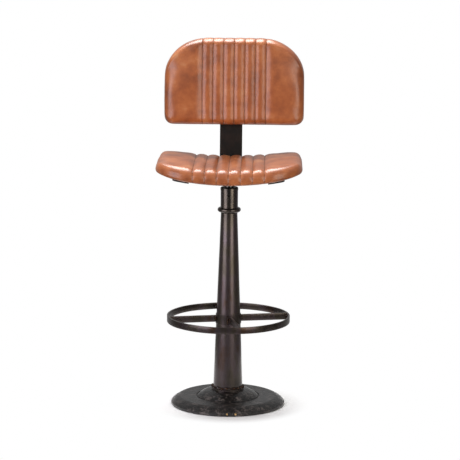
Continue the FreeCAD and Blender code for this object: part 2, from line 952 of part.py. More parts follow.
def back_bar():
    """Flat bar under the seat, bent up behind it and leaned back."""
    lean_angle = math.radians(recline)
    upward = Vector(0, math.sin(lean_angle), math.cos(lean_angle))
    rearward = Vector(0, math.cos(lean_angle), -math.sin(lean_angle))
    foot = back_foot()
    drop = (foot.z - plate_foot) * math.tan(lean_angle)
    inner_corner = Vector(0, foot.y - drop, plate_foot)
    tangent = bar_bend_radius * math.tan(math.radians(90 - recline) / 2)
    level_end = inner_corner - BACKWARD * tangent
    upright_start = inner_corner + upward * tangent
    centre = level_end + UP * bar_bend_radius
    toward = inner_corner - centre
    toward.normalize()
    top = foot + upward * (back_rise + bar_above_pad_foot)
    start = Vector(0, -bar_front_reach, bar_foot)
    profile = closed_wire(
        start,
        level_end - UP * bar_thickness,
        (
            centre + toward * (bar_bend_radius + bar_thickness),
            upright_start + rearward * bar_thickness,
        ),
        top + rearward * bar_thickness,
        top,
        upright_start,
        (centre + toward * bar_bend_radius, level_end),
        Vector(0, -bar_front_reach, plate_foot),
    )
    bar = Part.Face(profile).extrude(ACROSS * bar_width)
    bar.translate(ACROSS * (-bar_width / 2))
    ends = [
        edge
        for edge in bar.Edges
        if isinstance(edge.Curve, Part.Line) and abs(edge.Length - bar_thickness) < seating_gap
    ]
    bar = bar.makeFillet(bar_corner_radius, ends)
    holes = lean(back_bolt_hole_cut(back_bolt_hole, bar_thickness + overrun, 2 * bar_thickness))
    return bar.cut(holes).cut(flange_screw_cuts())


def back_section(x, lift):
    """Back pad's cross-section at x, made upright with its rear face at y = 0."""
    away = back_width / 2 - abs(x)
    shoulder = min(max(1 - away / back_shoulder_width, 0), 1)
    fall = back_shoulder_height * (1 - math.sqrt(1 - shoulder**2))
    foot = back_rise + edge_drop(back_foot_corner, away) - lift / 2
    top = back_rise + back_height - fall + lift / 2
    rear = edge_drop(back_rear_edge, away)
    face = back_thickness - edge_drop(back_front_edge, away) + lift
    most = round_limit_share * (face - rear)

    def place(height, depth):
        return Vector(x, -depth, height)

    rear_edge = min(back_rear_edge, most)
    front_edge = min(back_front_edge, most)
    return soft_section(place, foot, top, rear, face, rear_edge, front_edge, back_swell)


def back_outline_prism(inset, start, thickness):
    """Prism inside the back pad's outline by an inset, from start forward."""
    side = back_width / 2 - inset
    shoulder = min(back_shoulder_width, back_shoulder_height) - inset
    corner = max(back_foot_corner - inset, inset)
    soft = math.sqrt(0.5)
    low = back_rise + inset
    high = back_rise + back_height - inset
    c = corner * soft
    s = shoulder * soft
    outline = closed_wire(
        Vector(-side + corner, start, low),
        Vector(side - corner, start, low),
        (
            Vector(side - corner + c, start, low + corner - c),
            Vector(side, start, low + corner),
        ),
        Vector(side, start, high - shoulder),
        (
            Vector(side - shoulder + s, start, high - shoulder + s),
            Vector(side - shoulder, start, high),
        ),
        Vector(-side + shoulder, start, high),
        (
            Vector(-side + shoulder - s, start, high - shoulder + s),
            Vector(-side, start, high - shoulder),
        ),
        Vector(-side, start, low + corner),
        (
            Vector(-side + corner - c, start, low + corner - c),
            Vector(-side + corner, start, low),
        ),
    )
    return Part.Face(outline).extrude(BACKWARD * -thickness)


def back_rear_cover():
    """Leather panel that closes the back pad's rear."""
    sheet = back_outline_prism(cover_inset, -seating_gap, cover_thickness - 2 * seating_gap)
    sheet.translate(ACROSS * back_shift)
    return lean(sheet.cut(back_bolt_hole_cut(back_bolt_hole, overrun, back_thickness)))


def back_board():
    """Plywood board let into the back pad."""
    board = back_outline_prism(board_inset, -cover_thickness, board_thickness)
    board.translate(ACROSS * back_shift)
    tapped = back_bolt_diameter + 2 * seating_gap
    return lean(board.cut(back_bolt_hole_cut(tapped, overrun, back_thickness)))


def back_pad():
    """Leather and foam back, hollowed from behind for its board."""
    pad = channelled(back_section, back_channel_width, back_width / 2)
    pad.translate(BACKWARD * -cover_thickness)
    pocket = back_outline_prism(
        board_inset - board_clearance, overrun, overrun + board_thickness + 2 * cover_thickness
    )
    pad = pad.cut(pocket)
    pad.translate(ACROSS * back_shift)
    return lean(pad)


def back_bolts():
    """Dome-head bolts through the bar into the back board."""
    head_start = bar_thickness + back_washer_thickness
    reach = head_start + cover_thickness + back_bolt_depth
    bolts = []
    for x, height in back_bolt_places():
        shank = Part.makeCylinder(
            back_bolt_diameter / 2, reach, Vector(x, head_start, height), BACKWARD * -1
        )
        dome = Part.makeCone(
            back_bolt_head / 2,
            back_bolt_diameter / 2,
            back_bolt_head_height,
            Vector(x, head_start, height),
            BACKWARD,
        )
        bolts.append(fused([shank, dome]))
    return lean(Part.makeCompound(bolts))


def back_washers():
    """Washers under the back bolts' heads."""
    washers = []
    for x, height in back_bolt_places():
        start = Vector(x, bar_thickness, height)
        washer = Part.makeCylinder(
            back_washer_diameter / 2, back_washer_thickness, start, BACKWARD
        )
        hole = Part.makeCylinder(
            back_bolt_hole / 2, 2 * bar_thickness, start - BACKWARD * overrun, BACKWARD
        )
        washers.append(washer.cut(hole))
    return lean(Part.makeCompound(washers))


def build():
    """Make every node."""
    os.makedirs("parts", exist_ok=True)
    save(base_casting(), "base_casting")
    save(floor_pads(), "floor_pads")
    save(foot_flange(), "foot_flange")
    save(foot_bolts(), "foot_bolts")
    save(foot_washers(), "foot_washers")
    save(foot_weld(), "foot_weld")
    save(column_tube(), "column_tube")
    save(foot_ring(), "foot_ring")
    save(foot_ring_hub(), "foot_ring_hub")
    save(hub_seam_weld(), "hub_seam_weld")
    for name, angle in zip(("right", "rear", "left", "front"), round_steps(4, spoke_turn)):
        save(foot_spoke(angle), "foot_spoke_" + name)
    save(spoke_root_welds(), "spoke_root_welds")
    save(spoke_tip_welds(), "spoke_tip_welds")
    save(bead_ring(), "bead_ring")
    save(head_sleeve(), "head_sleeve")
    save(spindle_nut(), "spindle_nut")
    save(head_grub_screw(), "head_grub_screw")
    save(head_cap(), "head_cap")
    save(guide_tube(), "guide_tube")
    save(guide_bush(), "guide_bush")
    save(spindle(), "spindle")
    save(spindle_end_washer(), "spindle_end_washer")
    save(spindle_end_bolt(), "spindle_end_bolt")
    save(spindle_flange(), "spindle_flange")
    save(flange_screws(), "flange_screws")
    save(back_bar(), "back_bar")
    save(seat_plate(), "seat_plate")
    save(seat_cover(), "seat_cover")
    save(seat_board(), "seat_board")
    save(seat_wood_screws(), "seat_wood_screws")
    save(seat_pad(), "seat_pad")
    save(back_rear_cover(), "back_rear_cover")
    save(back_board(), "back_board")
    save(back_pad(), "back_pad")
    save(back_bolts(), "back_bolts")
    save(back_washers(), "back_washers")


build()
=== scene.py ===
import math

import bmesh
import bpy
from mathutils import Matrix, Vector, noise


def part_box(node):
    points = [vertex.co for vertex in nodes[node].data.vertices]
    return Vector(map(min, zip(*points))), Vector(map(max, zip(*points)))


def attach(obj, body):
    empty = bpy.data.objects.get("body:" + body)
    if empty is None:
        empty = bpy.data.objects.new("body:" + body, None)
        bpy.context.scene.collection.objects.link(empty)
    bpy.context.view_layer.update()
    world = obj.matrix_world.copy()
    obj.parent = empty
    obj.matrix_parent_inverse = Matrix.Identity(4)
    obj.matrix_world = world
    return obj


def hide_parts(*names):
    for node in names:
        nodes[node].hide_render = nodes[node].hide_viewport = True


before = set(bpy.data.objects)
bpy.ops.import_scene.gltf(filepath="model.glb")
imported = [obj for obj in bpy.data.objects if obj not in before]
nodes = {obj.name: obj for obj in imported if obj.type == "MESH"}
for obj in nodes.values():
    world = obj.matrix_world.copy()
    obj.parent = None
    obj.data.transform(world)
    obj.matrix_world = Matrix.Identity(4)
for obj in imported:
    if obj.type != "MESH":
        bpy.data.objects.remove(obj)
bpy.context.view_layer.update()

# Bar stool with a screw-lifted seat. Metres, +Z up, the sitter faces -Y.
# The sections follow the stool from the floor up, and the room and the camera come last.


# Cast-iron base
# One round grey-iron casting, sand cast, its dome and groove turned on a lathe, then browned
# and waxed. The column's flange is bolted on its dome from below.

dome_radius = 0.094
groove_width = 0.004
iron_pit = "#0b0807"
iron_brown = "#1d1715"
iron_worn = "#5c5451"
iron_chip = "#c09a63"
chips = ((0.001, -0.1725, 0.007), (0.027, -0.1705, 0.007))  # both low on the rim's front
chip_size = 0.0034
sand_grain = 0.0055  # drawn coarser than the real sand, so that it shows
turning_pitch = 0.0060  # the lathe's feed marks, also drawn coarser
turning_draw = 0.035  # metres of pattern to a radian, so that the marks run long round the dome
patch_size = 0.02
skin_relief = 0.0034


def linear(colour):
    """sRGB hex colour as linear red, green, blue and alpha."""
    parts = [int(colour[start : start + 2], 16) / 255 for start in (1, 3, 5)]
    curve = [c / 12.92 if c <= 0.04045 else ((c + 0.055) / 1.055) ** 2.4 for c in parts]
    return (*curve, 1.0)


def add(material, kind, sockets=(), output=0, stops=(), **settings):
    """Adds a node with its settings and what feeds its sockets, and returns one of its outputs."""
    node = material.node_tree.nodes.new(kind)
    for name, value in settings.items():
        setattr(node, name, value)
    for name, value in dict(sockets).items():
        if isinstance(value, bpy.types.NodeSocket):
            material.node_tree.links.new(value, node.inputs[name])
        else:
            node.inputs[name].default_value = value
    for number, (position, colour) in enumerate(stops):
        places = node.color_ramp.elements
        stop = places[number] if number < 2 else places.new(position)
        stop.position = position
        stop.color = linear(colour)
    return node.outputs[output] if node.outputs else None


def blank(name):
    """New material with no nodes yet."""
    material = bpy.data.materials.new(name)
    material.use_nodes = True
    material.node_tree.nodes.clear()
    return material


def clad(material, *names):
    """Gives CAD nodes a material."""
    for name in names:
        nodes[name].data.materials.clear()
        nodes[name].data.materials.append(material)


# Browned and waxed cast iron: near black and half glossy, with the sand's grain on the flat
# band and bevel, finer rings on the turned dome, and paler worn spots.
iron = blank("cast_iron_browned_waxed")
place = add(iron, "ShaderNodeTexCoord", output="Object")
across = add(iron, "ShaderNodeSeparateXYZ", {0: place}, output="X")
along = add(iron, "ShaderNodeSeparateXYZ", {0: place}, output="Y")
up = add(iron, "ShaderNodeSeparateXYZ", {0: place}, output="Z")
level = add(iron, "ShaderNodeCombineXYZ", {"X": across, "Y": along})
radius = add(iron, "ShaderNodeVectorMath", {0: level}, output="Value", operation="LENGTH")
angle = add(iron, "ShaderNodeMath", {0: along, 1: across}, operation="ARCTAN2")
turn = add(iron, "ShaderNodeMath", {0: angle, 1: turning_draw}, operation="MULTIPLY")
lathe = add(iron, "ShaderNodeCombineXYZ", {"X": turn, "Y": radius, "Z": up})
feed = add(iron, "ShaderNodeTexNoise", {"Vector": lathe, "Scale": 1 / turning_pitch, "Detail": 2.0})
grit = add(
    iron,
    "ShaderNodeTexNoise",
    {"Vector": place, "Scale": 1 / sand_grain, "Detail": 4.0, "Roughness": 0.65},
)
patches = add(iron, "ShaderNodeTexNoise", {"Vector": place, "Scale": 1 / patch_size, "Detail": 6.0})
cast = add(
    iron,
    "ShaderNodeMapRange",
    {"Value": radius, "From Min": dome_radius, "From Max": dome_radius + groove_width},
)
rubbed = add(iron, "ShaderNodeMath", {0: grit, 1: patches}, operation="MULTIPLY")
shade = add(
    iron,
    "ShaderNodeValToRGB",
    {"Fac": rubbed},
    stops=[(0.2, iron_pit), (0.27, iron_brown), (0.34, iron_worn)],
)
chipped = []
for spot in chips:
    away = add(iron, "ShaderNodeVectorMath", {0: place, 1: spot}, output="Value", operation="DISTANCE")
    ragged = add(iron, "ShaderNodeMath", {0: grit, 1: 2 * chip_size}, operation="MULTIPLY")
    chipped.append(add(iron, "ShaderNodeMath", {0: away, 1: ragged}, operation="LESS_THAN"))
bare = add(iron, "ShaderNodeMath", {0: chipped[0], 1: chipped[1]}, operation="MAXIMUM")
colour = add(iron, "ShaderNodeMixRGB", {"Fac": bare, "Color1": shade, "Color2": linear(iron_chip)})
rough_cast = add(iron, "ShaderNodeMath", {0: grit, 1: cast}, operation="MULTIPLY")
height = add(iron, "ShaderNodeMath", {0: rough_cast, 1: feed}, operation="ADD")
bump = add(iron, "ShaderNodeBump", {"Height": height, "Strength": 1.0, "Distance": skin_relief})
roughness = add(iron, "ShaderNodeMapRange", {"Value": rubbed, "To Min": 0.24, "To Max": 0.5})
surface = add(
    iron,
    "ShaderNodeBsdfPrincipled",
    {
        "Base Color": colour,
        "Metallic": 0.35,
        "Roughness": roughness,
        "Normal": bump,
        "Coat Weight": 0.5,
        "Coat Roughness": 0.22,
    },
)
add(iron, "ShaderNodeOutputMaterial", {"Surface": surface})
clad(iron, "base_casting")


# Floor pads
# Six discs of wool felt, punched from pressed sheet and glued into pockets in the rim. They
# keep the iron off the floor.

felt_grey = "#3a3633"
felt_light = "#5a544e"
fibre_spacing = 0.0006


def mottled(name, spread, detail, tones, strength, depth, finish):
    """Finish mottled in two tones and in relief, over a spread; finish holds other sockets."""
    material = blank(name)
    place = add(material, "ShaderNodeTexCoord", output="Object")
    mottle = add(material, "ShaderNodeTexNoise", {"Vector": place, "Scale": 1 / spread, "Detail": detail})
    colour = add(material, "ShaderNodeValToRGB", {"Fac": mottle}, stops=tones)
    bump = add(material, "ShaderNodeBump", {"Height": mottle, "Strength": strength, "Distance": depth})
    sockets = {"Base Color": colour, "Normal": bump, **finish}
    surface = add(material, "ShaderNodeBsdfPrincipled", sockets)
    add(material, "ShaderNodeOutputMaterial", {"Surface": surface})
    return material


# Pressed felt: quite dull, with short fibres that stand up at the edge.
tones = [(0.35, felt_grey), (0.7, felt_light)]
finish = {"Roughness": 0.95, "Sheen Weight": 0.3}
felt = mottled("wool_felt_pressed", fibre_spacing, 4.0, tones, 0.5, 0.0004, finish)
clad(felt, "floor_pads")


# Bolts and washers under the base
# Zinc-plated steel hexagon bolts with plain washers, screwed up into the column's flange.
# The bolt and washer on the lifting screw's lower end are of the same kind.

zinc_light = "#a9a8a4"
zinc_dark = "#74736f"
spangle = 0.004

# Zinc plate: pale grey metal with soft clouds and a satin gloss.
tones = [(0.3, zinc_dark), (0.7, zinc_light)]
finish = {"Metallic": 0.95, "Roughness": 0.38}
zinc = mottled("steel_zinc_plated", spangle, 3.0, tones, 0.15, 0.0002, finish)
clad(zinc, "foot_bolts", "foot_washers", "spindle_end_bolt", "spindle_end_washer")


# Tapered column, its foot flange and the guide tube inside
# Steel sheet rolled to a long cone, seam welded and ground, then darkened with acid, oiled and
# waxed. It stands welded on a turned flange. The guide tube hangs inside it.

column_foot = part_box("column_tube")[0].z
column_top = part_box("column_tube")[1].z
column_foot_radius = 0.045
column_top_radius = 0.025
column_wall = 0.0035
steel_black = "#3b3636"
steel_plum = "#63575a"
steel_olive = "#5a5147"
steel_brown = "#5a4436"
steel_rubbed = "#a39a92"
steel_wax_and_shade = "#170f0a"
patina_size = 0.05
patina_draw = 0.4  # the tints run long up the column, and the grinder's marks much longer
draw_mark = 0.0035  # fine upright marks of the grinder, drawn coarser than real
mark_draw = 0.06
speck_size = 0.0016
painted_shade_top = 0.25  # painted shade: the black wax colour comes in from this height, is fullest at the next, and adds so much
painted_shade_foot = 0.06
painted_shade_depth = 0.6
column_rows = 70
unevenness_seed = 7  # Blender would take it from the clock, and the metal differ each run
noise.seed_set(unevenness_seed)


def made(name, points, faces, sharp=35):
    """Mesh piece from points and faces: smooth, but with edges sharper than the angle kept."""
    mesh = bpy.data.meshes.new(name)
    mesh.from_pydata(points, [], faces)
    shape = bmesh.new()
    shape.from_mesh(mesh)
    bmesh.ops.recalc_face_normals(shape, faces=shape.faces)
    shape.to_mesh(mesh)
    shape.free()
    mesh.shade_smooth()
    mesh.set_sharp_from_angle(angle=math.radians(sharp))
    piece = bpy.data.objects.new(name, mesh)
    bpy.context.scene.collection.objects.link(piece)
    return piece


def dress(piece, material, body, slot, *replaced):
    """Gives a piece its material, the body that it moves with and the nodes it stands for."""
    piece.data.materials.append(material)
    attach(piece, body)
    if replaced:
        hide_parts(*replaced)
    return piece


def uneven(point, amount, size):
    """Point moved a little, as hand-worked metal is never quite true."""
    point = Vector(point)
    return point + noise.noise_vector(point / size) * amount


def ring_faces(first, rings, count, closed=False):
    """Faces over rings of points from the first on; the ends are capped, or closed on each other."""
    faces = []
    for ring in range(rings if closed else rings - 1):
        here = first + ring * count
        ahead = first + (ring + 1) % rings * count
        for step in range(count):
            after = (step + 1) % count
            faces.append((here + step, here + after, ahead + after, ahead + step))
    if not closed:
        faces.append(tuple(range(first, first + count)))
        faces.append(tuple(range(first + (rings - 1) * count, first + rings * count)))
    return faces


def turned(name, outline, steps, amount=0.0, size=0.04):
    """Piece of revolution from a closed outline of radius and height pairs."""
    points = []
    for step in range(steps):
        turn = 2 * math.pi * step / steps
        for radius, height in outline:
            point = (radius * math.cos(turn), radius * math.sin(turn), height)
            points.append(uneven(point, amount, size))
    return made(name, points, ring_faces(0, steps, len(outline), closed=True))


def column_radius(height):
    """Radius of the column's outside at a height."""
    share = (height - column_foot) / (column_top - column_foot)
    return column_foot_radius + (column_top_radius - column_foot_radius) * share


def patinated(name, roughness, glow, soot):
    """Steel darkened with acid and waxed; glow: how pale its rubbed parts are; soot: how black."""
    steel = blank(name)
    place = add(steel, "ShaderNodeTexCoord", output="Object")
    stretched = add(
        steel,
        "ShaderNodeMapping",
        {"Vector": place, "Scale": (1 / patina_size, 1 / patina_size, patina_draw / patina_size)},
    )
    tint = add(
        steel,
        "ShaderNodeTexNoise",
        {"Vector": stretched, "Scale": 1.0, "Detail": 4.0, "Roughness": 0.6},
    )
    dark = add(
        steel,
        "ShaderNodeValToRGB",
        {"Fac": tint},
        stops=[(0.32, steel_brown), (0.45, steel_plum), (0.56, steel_olive), (0.7, steel_black)],
    )
    marks = add(
        steel,
        "ShaderNodeMapping",
        {"Vector": place, "Scale": (1 / draw_mark, 1 / draw_mark, mark_draw / draw_mark)},
    )
    lines = add(steel, "ShaderNodeTexNoise", {"Vector": marks, "Scale": 1.0, "Detail": 3.0})
    specks = add(steel, "ShaderNodeTexNoise", {"Vector": place, "Scale": 1 / speck_size, "Detail": 3.0})
    rubbed = add(
        steel,
        "ShaderNodeMapRange",
        {"Value": specks, "From Min": 0.62, "From Max": 0.8, "To Max": glow},
    )
    colour = add(
        steel,
        "ShaderNodeMixRGB",
        {"Fac": rubbed, "Color1": dark, "Color2": linear(steel_rubbed)},
    )
    # Painted shade: the steel is darkened towards the floor with the black wax colour, over its even coat
    # of black wax (soot).
    up = add(steel, "ShaderNodeSeparateXYZ", {0: place}, output="Z")
    waxed = add(
        steel,
        "ShaderNodeMapRange",
        {
            "Value": up,
            "From Min": painted_shade_top,
            "From Max": painted_shade_foot,
            "To Min": soot,
            "To Max": soot + painted_shade_depth,
        },
    )
    colour = add(steel, "ShaderNodeMixRGB", {"Fac": waxed, "Color1": colour, "Color2": linear(steel_wax_and_shade)})
    height = add(steel, "ShaderNodeMath", {0: lines, 1: specks}, operation="ADD")
    bump = add(steel, "ShaderNodeBump", {"Height": height, "Strength": 0.1, "Distance": 0.0003})
    blur = add(
        steel,
        "ShaderNodeMapRange",
        {"Value": tint, "To Min": roughness - 0.07, "To Max": roughness + 0.09},
    )
    surface = add(
        steel,
        "ShaderNodeBsdfPrincipled",
        {
            "Base Color": colour,
            "Metallic": 0.85,
            "Roughness": blur,
            "Normal": bump,
            "Coat Weight": 0.35,
            "Coat Roughness": 0.2,
        },
    )
    add(steel, "ShaderNodeOutputMaterial", {"Surface": surface})
    return steel


# Acid-darkened steel, oiled and waxed: plum, olive and brown tints under a low gloss that draws
# the lamps out into long upright bands.
column_steel = patinated("steel_acid_darkened_waxed", 0.3, 0.3, 0.05)

outline = []
for row in range(column_rows + 1):
    height = column_foot + (column_top - column_foot) * row / column_rows
    outline.append((column_radius(height), height))
for row in range(column_rows, -1, -10):
    height = column_foot + (column_top - column_foot) * row / column_rows
    outline.append((column_radius(height) - column_wall, height))
column = turned("column", outline, 120, amount=0.00022, size=0.05)
dress(column, column_steel, "stand", "column_steel", "column_tube")
clad(column_steel, "foot_flange", "guide_tube")


# Weld round the column's foot
# One fillet of weld metal that joins the tube to its flange, run by hand in short overlapping
# pools and left as it fell. Only wax is on it.

foot_weld_radius = 0.0038
pool_length = 0.0046
swell_rate = 150  # how closely the bead swells and dips along its run, to the metre
swell_share = 0.9
lump_rate = 480  # how closely lumps lie on its skin, to the metre
lump_share = 0.45
root_steps = 300
root_wander = 0.0022
heat_size = 0.006
slag_size = 0.0012
weld_black = "#1a1514"
weld_brown = "#4a3324"
weld_blue = "#3c393c"
weld_glint_painted = "#b4aca2"


def bead(name, paths, radius, closed=False):
    """Weld metal along paths of points: a round bead that swells and dips from pool to pool."""
    sides = 12
    points, faces = [], []
    for path in paths:
        start = len(points)
        lengths = [0.0]
        for before, after in zip(path, path[1:]):
            lengths.append(lengths[-1] + (after - before).length)
        for number, centre in enumerate(path):
            before = path[number - 1] if number or closed else centre
            after = path[(number + 1) % len(path)] if number + 1 < len(path) or closed else centre
            ahead = (after - before).normalized()
            sideways = ahead.cross(Vector((1, 0, 0)) if abs(ahead.z) > 0.7 else Vector((0, 0, 1)))
            sideways.normalize()
            upright = sideways.cross(ahead)
            swell = 0.86 + 0.2 * abs(math.sin(math.pi * lengths[number] / pool_length))
            swell += swell_share * noise.noise(centre * swell_rate)
            if not closed:
                end = min(lengths[number], lengths[-1] - lengths[number]) / radius
                swell *= math.sqrt(1 - (1 - min(end, 1)) ** 2) + 0.02
            for side in range(sides):
                turn = 2 * math.pi * side / sides
                out = sideways * math.cos(turn) + upright * math.sin(turn)
                lump = 1 + lump_share * noise.noise((centre + out * radius) * lump_rate)
                points.append(centre + out * radius * swell * lump)
        faces += ring_faces(start, len(path), sides, closed)
    return made(name, points, faces, sharp=75)


# Weld metal as it fell: black scale with brown and blue heat tints, and pale spots that are painted
# glints.
weld_metal = blank("weld_metal_scaled")
place = add(weld_metal, "ShaderNodeTexCoord", output="Object")
heat = add(weld_metal, "ShaderNodeTexNoise", {"Vector": place, "Scale": 1 / heat_size, "Detail": 4.0})
slag = add(weld_metal, "ShaderNodeTexNoise", {"Vector": place, "Scale": 1 / slag_size, "Detail": 3.0})
colour = add(
    weld_metal,
    "ShaderNodeValToRGB",
    {"Fac": heat},
    stops=[
        (0.36, weld_black),
        (0.46, weld_brown),
        (0.55, weld_black),
        (0.63, weld_blue),
        (0.74, weld_glint_painted),
    ],
)
bump = add(weld_metal, "ShaderNodeBump", {"Height": slag, "Strength": 0.5, "Distance": 0.0006})
surface = add(
    weld_metal,
    "ShaderNodeBsdfPrincipled",
    {"Base Color": colour, "Metallic": 0.85, "Roughness": 0.18, "Normal": bump},
)
add(weld_metal, "ShaderNodeOutputMaterial", {"Surface": surface})

root_radius = column_foot_radius + 0.0012
root_height = column_foot + 0.0016
root = []
for step in range(root_steps):
    turn = 2 * math.pi * step / root_steps
    wander = root_wander * noise.noise(Vector((3 * math.cos(turn), 3 * math.sin(turn), 0.4)))
    reach = root_radius + wander
    root.append(Vector((reach * math.cos(turn), reach * math.sin(turn), root_height + wander)))
foot_weld = bead("foot_weld_bead", [root], foot_weld_radius, closed=True)
dress(foot_weld, weld_metal, "stand", "weld_metal", "foot_weld")


# Hub band of the foot ring
# A strip of steel rolled round the column, where the spokes meet it, and closed in front by an
# upright weld.

hub_low, hub_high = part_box("foot_ring_hub")
hub_wall = 0.002
hub_round = 0.0006
hub_gap = 0.0001
hub_seam_turn = math.radians(-92)
hub_seam_radius = 0.0026
seam_inset = 0.001
seam_steps = 20

# The ring's steel: the same finish as the column, rubbed a little paler by shoes.
ring_steel = patinated("steel_flat_bar_acid_darkened", 0.32, 0.35, 0.4)

outline = []
for height, outward in (
    (hub_low.z + hub_round, hub_wall),
    (hub_high.z - hub_round, hub_wall),
    (hub_high.z, hub_wall - hub_round),
    (hub_high.z, hub_gap),
    (hub_low.z, hub_gap),
    (hub_low.z, hub_wall - hub_round),
):
    outline.append((column_radius(height) + outward, height))
hub = turned("hub_band", outline, 120, amount=0.00025, size=0.02)
dress(hub, ring_steel, "stand", "ring_steel", "foot_ring_hub")

seam = []
for step in range(seam_steps + 1):
    height = hub_low.z + seam_inset
    height += (hub_high.z - hub_low.z - 2 * seam_inset) * step / seam_steps
    reach = column_radius(height) + hub_wall
    seam.append(Vector((reach * math.cos(hub_seam_turn), reach * math.sin(hub_seam_turn), height)))
hub_seam = bead("hub_seam_bead", [seam], hub_seam_radius)
dress(hub_seam, weld_metal, "stand", "weld_metal", "hub_seam_weld")


# Foot ring
# Flat steel bar, 20 by 6, bent on edge to a circle, butt welded and ground, so its edges are
# softly broken and it is never quite round.

ring_low, ring_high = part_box("foot_ring")
ring_radius = 0.189
bar_thickness = 0.006
bar_round = 0.0009


def bar_section(low, high, near, far, rounding):
    """Rounded rectangle between two heights and two distances, as distance and height pairs."""
    section = []
    for corner_distance, corner_height, start in (
        (far - rounding, low + rounding, -90),
        (far - rounding, high - rounding, 0),
        (near + rounding, high - rounding, 90),
        (near + rounding, low + rounding, 180),
    ):
        for step in range(4):
            turn = math.radians(start + 30 * step)
            distance = corner_distance + rounding * math.cos(turn)
            height = corner_height + rounding * math.sin(turn)
            section.append((distance, height))
    return section


outline = bar_section(ring_low.z, ring_high.z, ring_radius - bar_thickness, ring_radius, bar_round)
foot_ring = turned("foot_ring_bar", outline, 200, amount=0.0003, size=0.06)
dress(foot_ring, ring_steel, "stand", "ring_steel", "foot_ring")


# Spokes
# Four lengths of flat bar, 21 by 6, on edge between the hub band and the ring, butted and
# welded. Their cross is turned a little from the seat's axes.

spoke_height = 0.021
spoke_stretches = 14
spoke_turn = 12
spoke_middle = (ring_low.z + ring_high.z) / 2
# Both ends are melted a little into what they are welded to.
spoke_start = column_radius(spoke_middle) + hub_wall - 0.0008
spoke_end = ring_radius - bar_thickness + 0.0004


def spoke_swing(number):
    """Rotation that carries the right-hand axis onto a spoke."""
    return Matrix.Rotation(math.radians(spoke_turn + 90 * number), 4, "Z")


low, high = spoke_middle - spoke_height / 2, spoke_middle + spoke_height / 2
section = bar_section(low, high, -bar_thickness / 2, bar_thickness / 2, bar_round)
for number, name in enumerate(("right", "rear", "left", "front")):
    swing = spoke_swing(number)
    points = []
    for stretch in range(spoke_stretches + 1):
        reach = spoke_start + (spoke_end - spoke_start) * stretch / spoke_stretches
        points += [uneven(swing @ Vector((reach, side, z)), 0.0003, 0.03) for side, z in section]
    faces = ring_faces(0, spoke_stretches + 1, len(section))
    spoke = made("spoke_bar_" + name, points, faces)
    dress(spoke, ring_steel, "stand", "ring_steel", "foot_spoke_" + name)


# Welds of the spokes
# Short upright fillets in the two corners beside each spoke, at the hub and at the ring. The
# metal is as at the foot, in thinner runs.

spoke_weld_radius = 0.0031
spoke_weld_offset = bar_thickness / 2 + 0.0004
spoke_weld_steps = 17


def corner_beads(name, reach, replaced):
    """Upright beads on both sides of every spoke at a distance from the middle."""
    paths = []
    for number in range(4):
        swing = spoke_swing(number)
        for side in (-1, 1):
            path = []
            for step in range(spoke_weld_steps + 1):
                height = ring_low.z + (ring_high.z - ring_low.z) * step / spoke_weld_steps
                path.append(swing @ Vector((reach(height), side * spoke_weld_offset, height)))
            paths.append(path)
    piece = bead(name, paths, spoke_weld_radius)
    return dress(piece, weld_metal, "stand", "weld_metal", replaced)


corner_beads("spoke_root_beads", lambda z: column_radius(z) + hub_wall + 0.0004, "spoke_root_welds")
corner_beads("spoke_tip_beads", lambda z: spoke_end - 0.0008, "spoke_tip_welds")


# Head of the column
# A turned bead ring, a plain sleeve and a cap with a rounded lip, polished a little brighter
# than the column, with a black grub screw that locks the nut inside.

screw_black = "#171514"
screw_worn = "#3d3936"
oxide_grain = 0.003

# Turned steel, darkened: the same tints as the column under a closer gloss.
head_steel = patinated("steel_turned_acid_darkened", 0.24, 0.35, 0.0)
clad(head_steel, "head_sleeve", "bead_ring", "head_cap")

# Black oxide on socket and button screws: near black with a fine satin grain.
tones = [(0.3, screw_black), (0.75, screw_worn)]
finish = {"Metallic": 0.8, "Roughness": 0.38}
oxide = mottled("steel_black_oxide", oxide_grain, 3.0, tones, 0.1, 0.0002, finish)
clad(oxide, "head_grub_screw", "flange_screws", "seat_wood_screws", "back_bolts", "back_washers")


# Nut and bush
# A bronze nut pressed in the sleeve, and a nylon bush that steadies the screw's lower end.
# Both are turned from bar.

bronze_deep = "#7a5c32"
bronze_light = "#a8854f"
nylon_deep = "#cfcabb"
nylon_light = "#e2decf"
bronze_cloud = 0.005
nylon_cloud = 0.004
tool_mark = 0.0009
half_wave = 0.16  # metres that half a wave of the wave texture takes at scale 1

# Turned bronze: warm metal with fine rings of the tool.
bronze = blank("bronze_turned")
place = add(bronze, "ShaderNodeTexCoord", output="Object")
rings = add(
    bronze,
    "ShaderNodeTexWave",
    {"Vector": place, "Scale": half_wave / tool_mark, "Distortion": 0.6},
    output="Fac",
    bands_direction="Z",
)
cloud = add(bronze, "ShaderNodeTexNoise", {"Vector": place, "Scale": 1 / bronze_cloud, "Detail": 3.0})
colour = add(
    bronze, "ShaderNodeValToRGB", {"Fac": cloud}, stops=[(0.3, bronze_deep), (0.7, bronze_light)]
)
bump = add(bronze, "ShaderNodeBump", {"Height": rings, "Strength": 0.15, "Distance": 0.0002})
surface = add(
    bronze,
    "ShaderNodeBsdfPrincipled",
    {"Base Color": colour, "Metallic": 1.0, "Roughness": 0.34, "Normal": bump},
)
add(bronze, "ShaderNodeOutputMaterial", {"Surface": surface})
clad(bronze, "spindle_nut")

# Turned nylon: milky, dull and faintly clouded.
nylon = blank("nylon_turned")
place = add(nylon, "ShaderNodeTexCoord", output="Object")
cloud = add(nylon, "ShaderNodeTexNoise", {"Vector": place, "Scale": 1 / nylon_cloud, "Detail": 2.0})
colour = add(nylon, "ShaderNodeValToRGB", {"Fac": cloud}, stops=[(0.3, nylon_deep), (0.7, nylon_light)])
surface = add(
    nylon,
    "ShaderNodeBsdfPrincipled",
    {"Base Color": colour, "Roughness": 0.5, "Subsurface Weight": 0.1},
)
add(nylon, "ShaderNodeOutputMaterial", {"Surface": surface})
clad(nylon, "guide_bush")


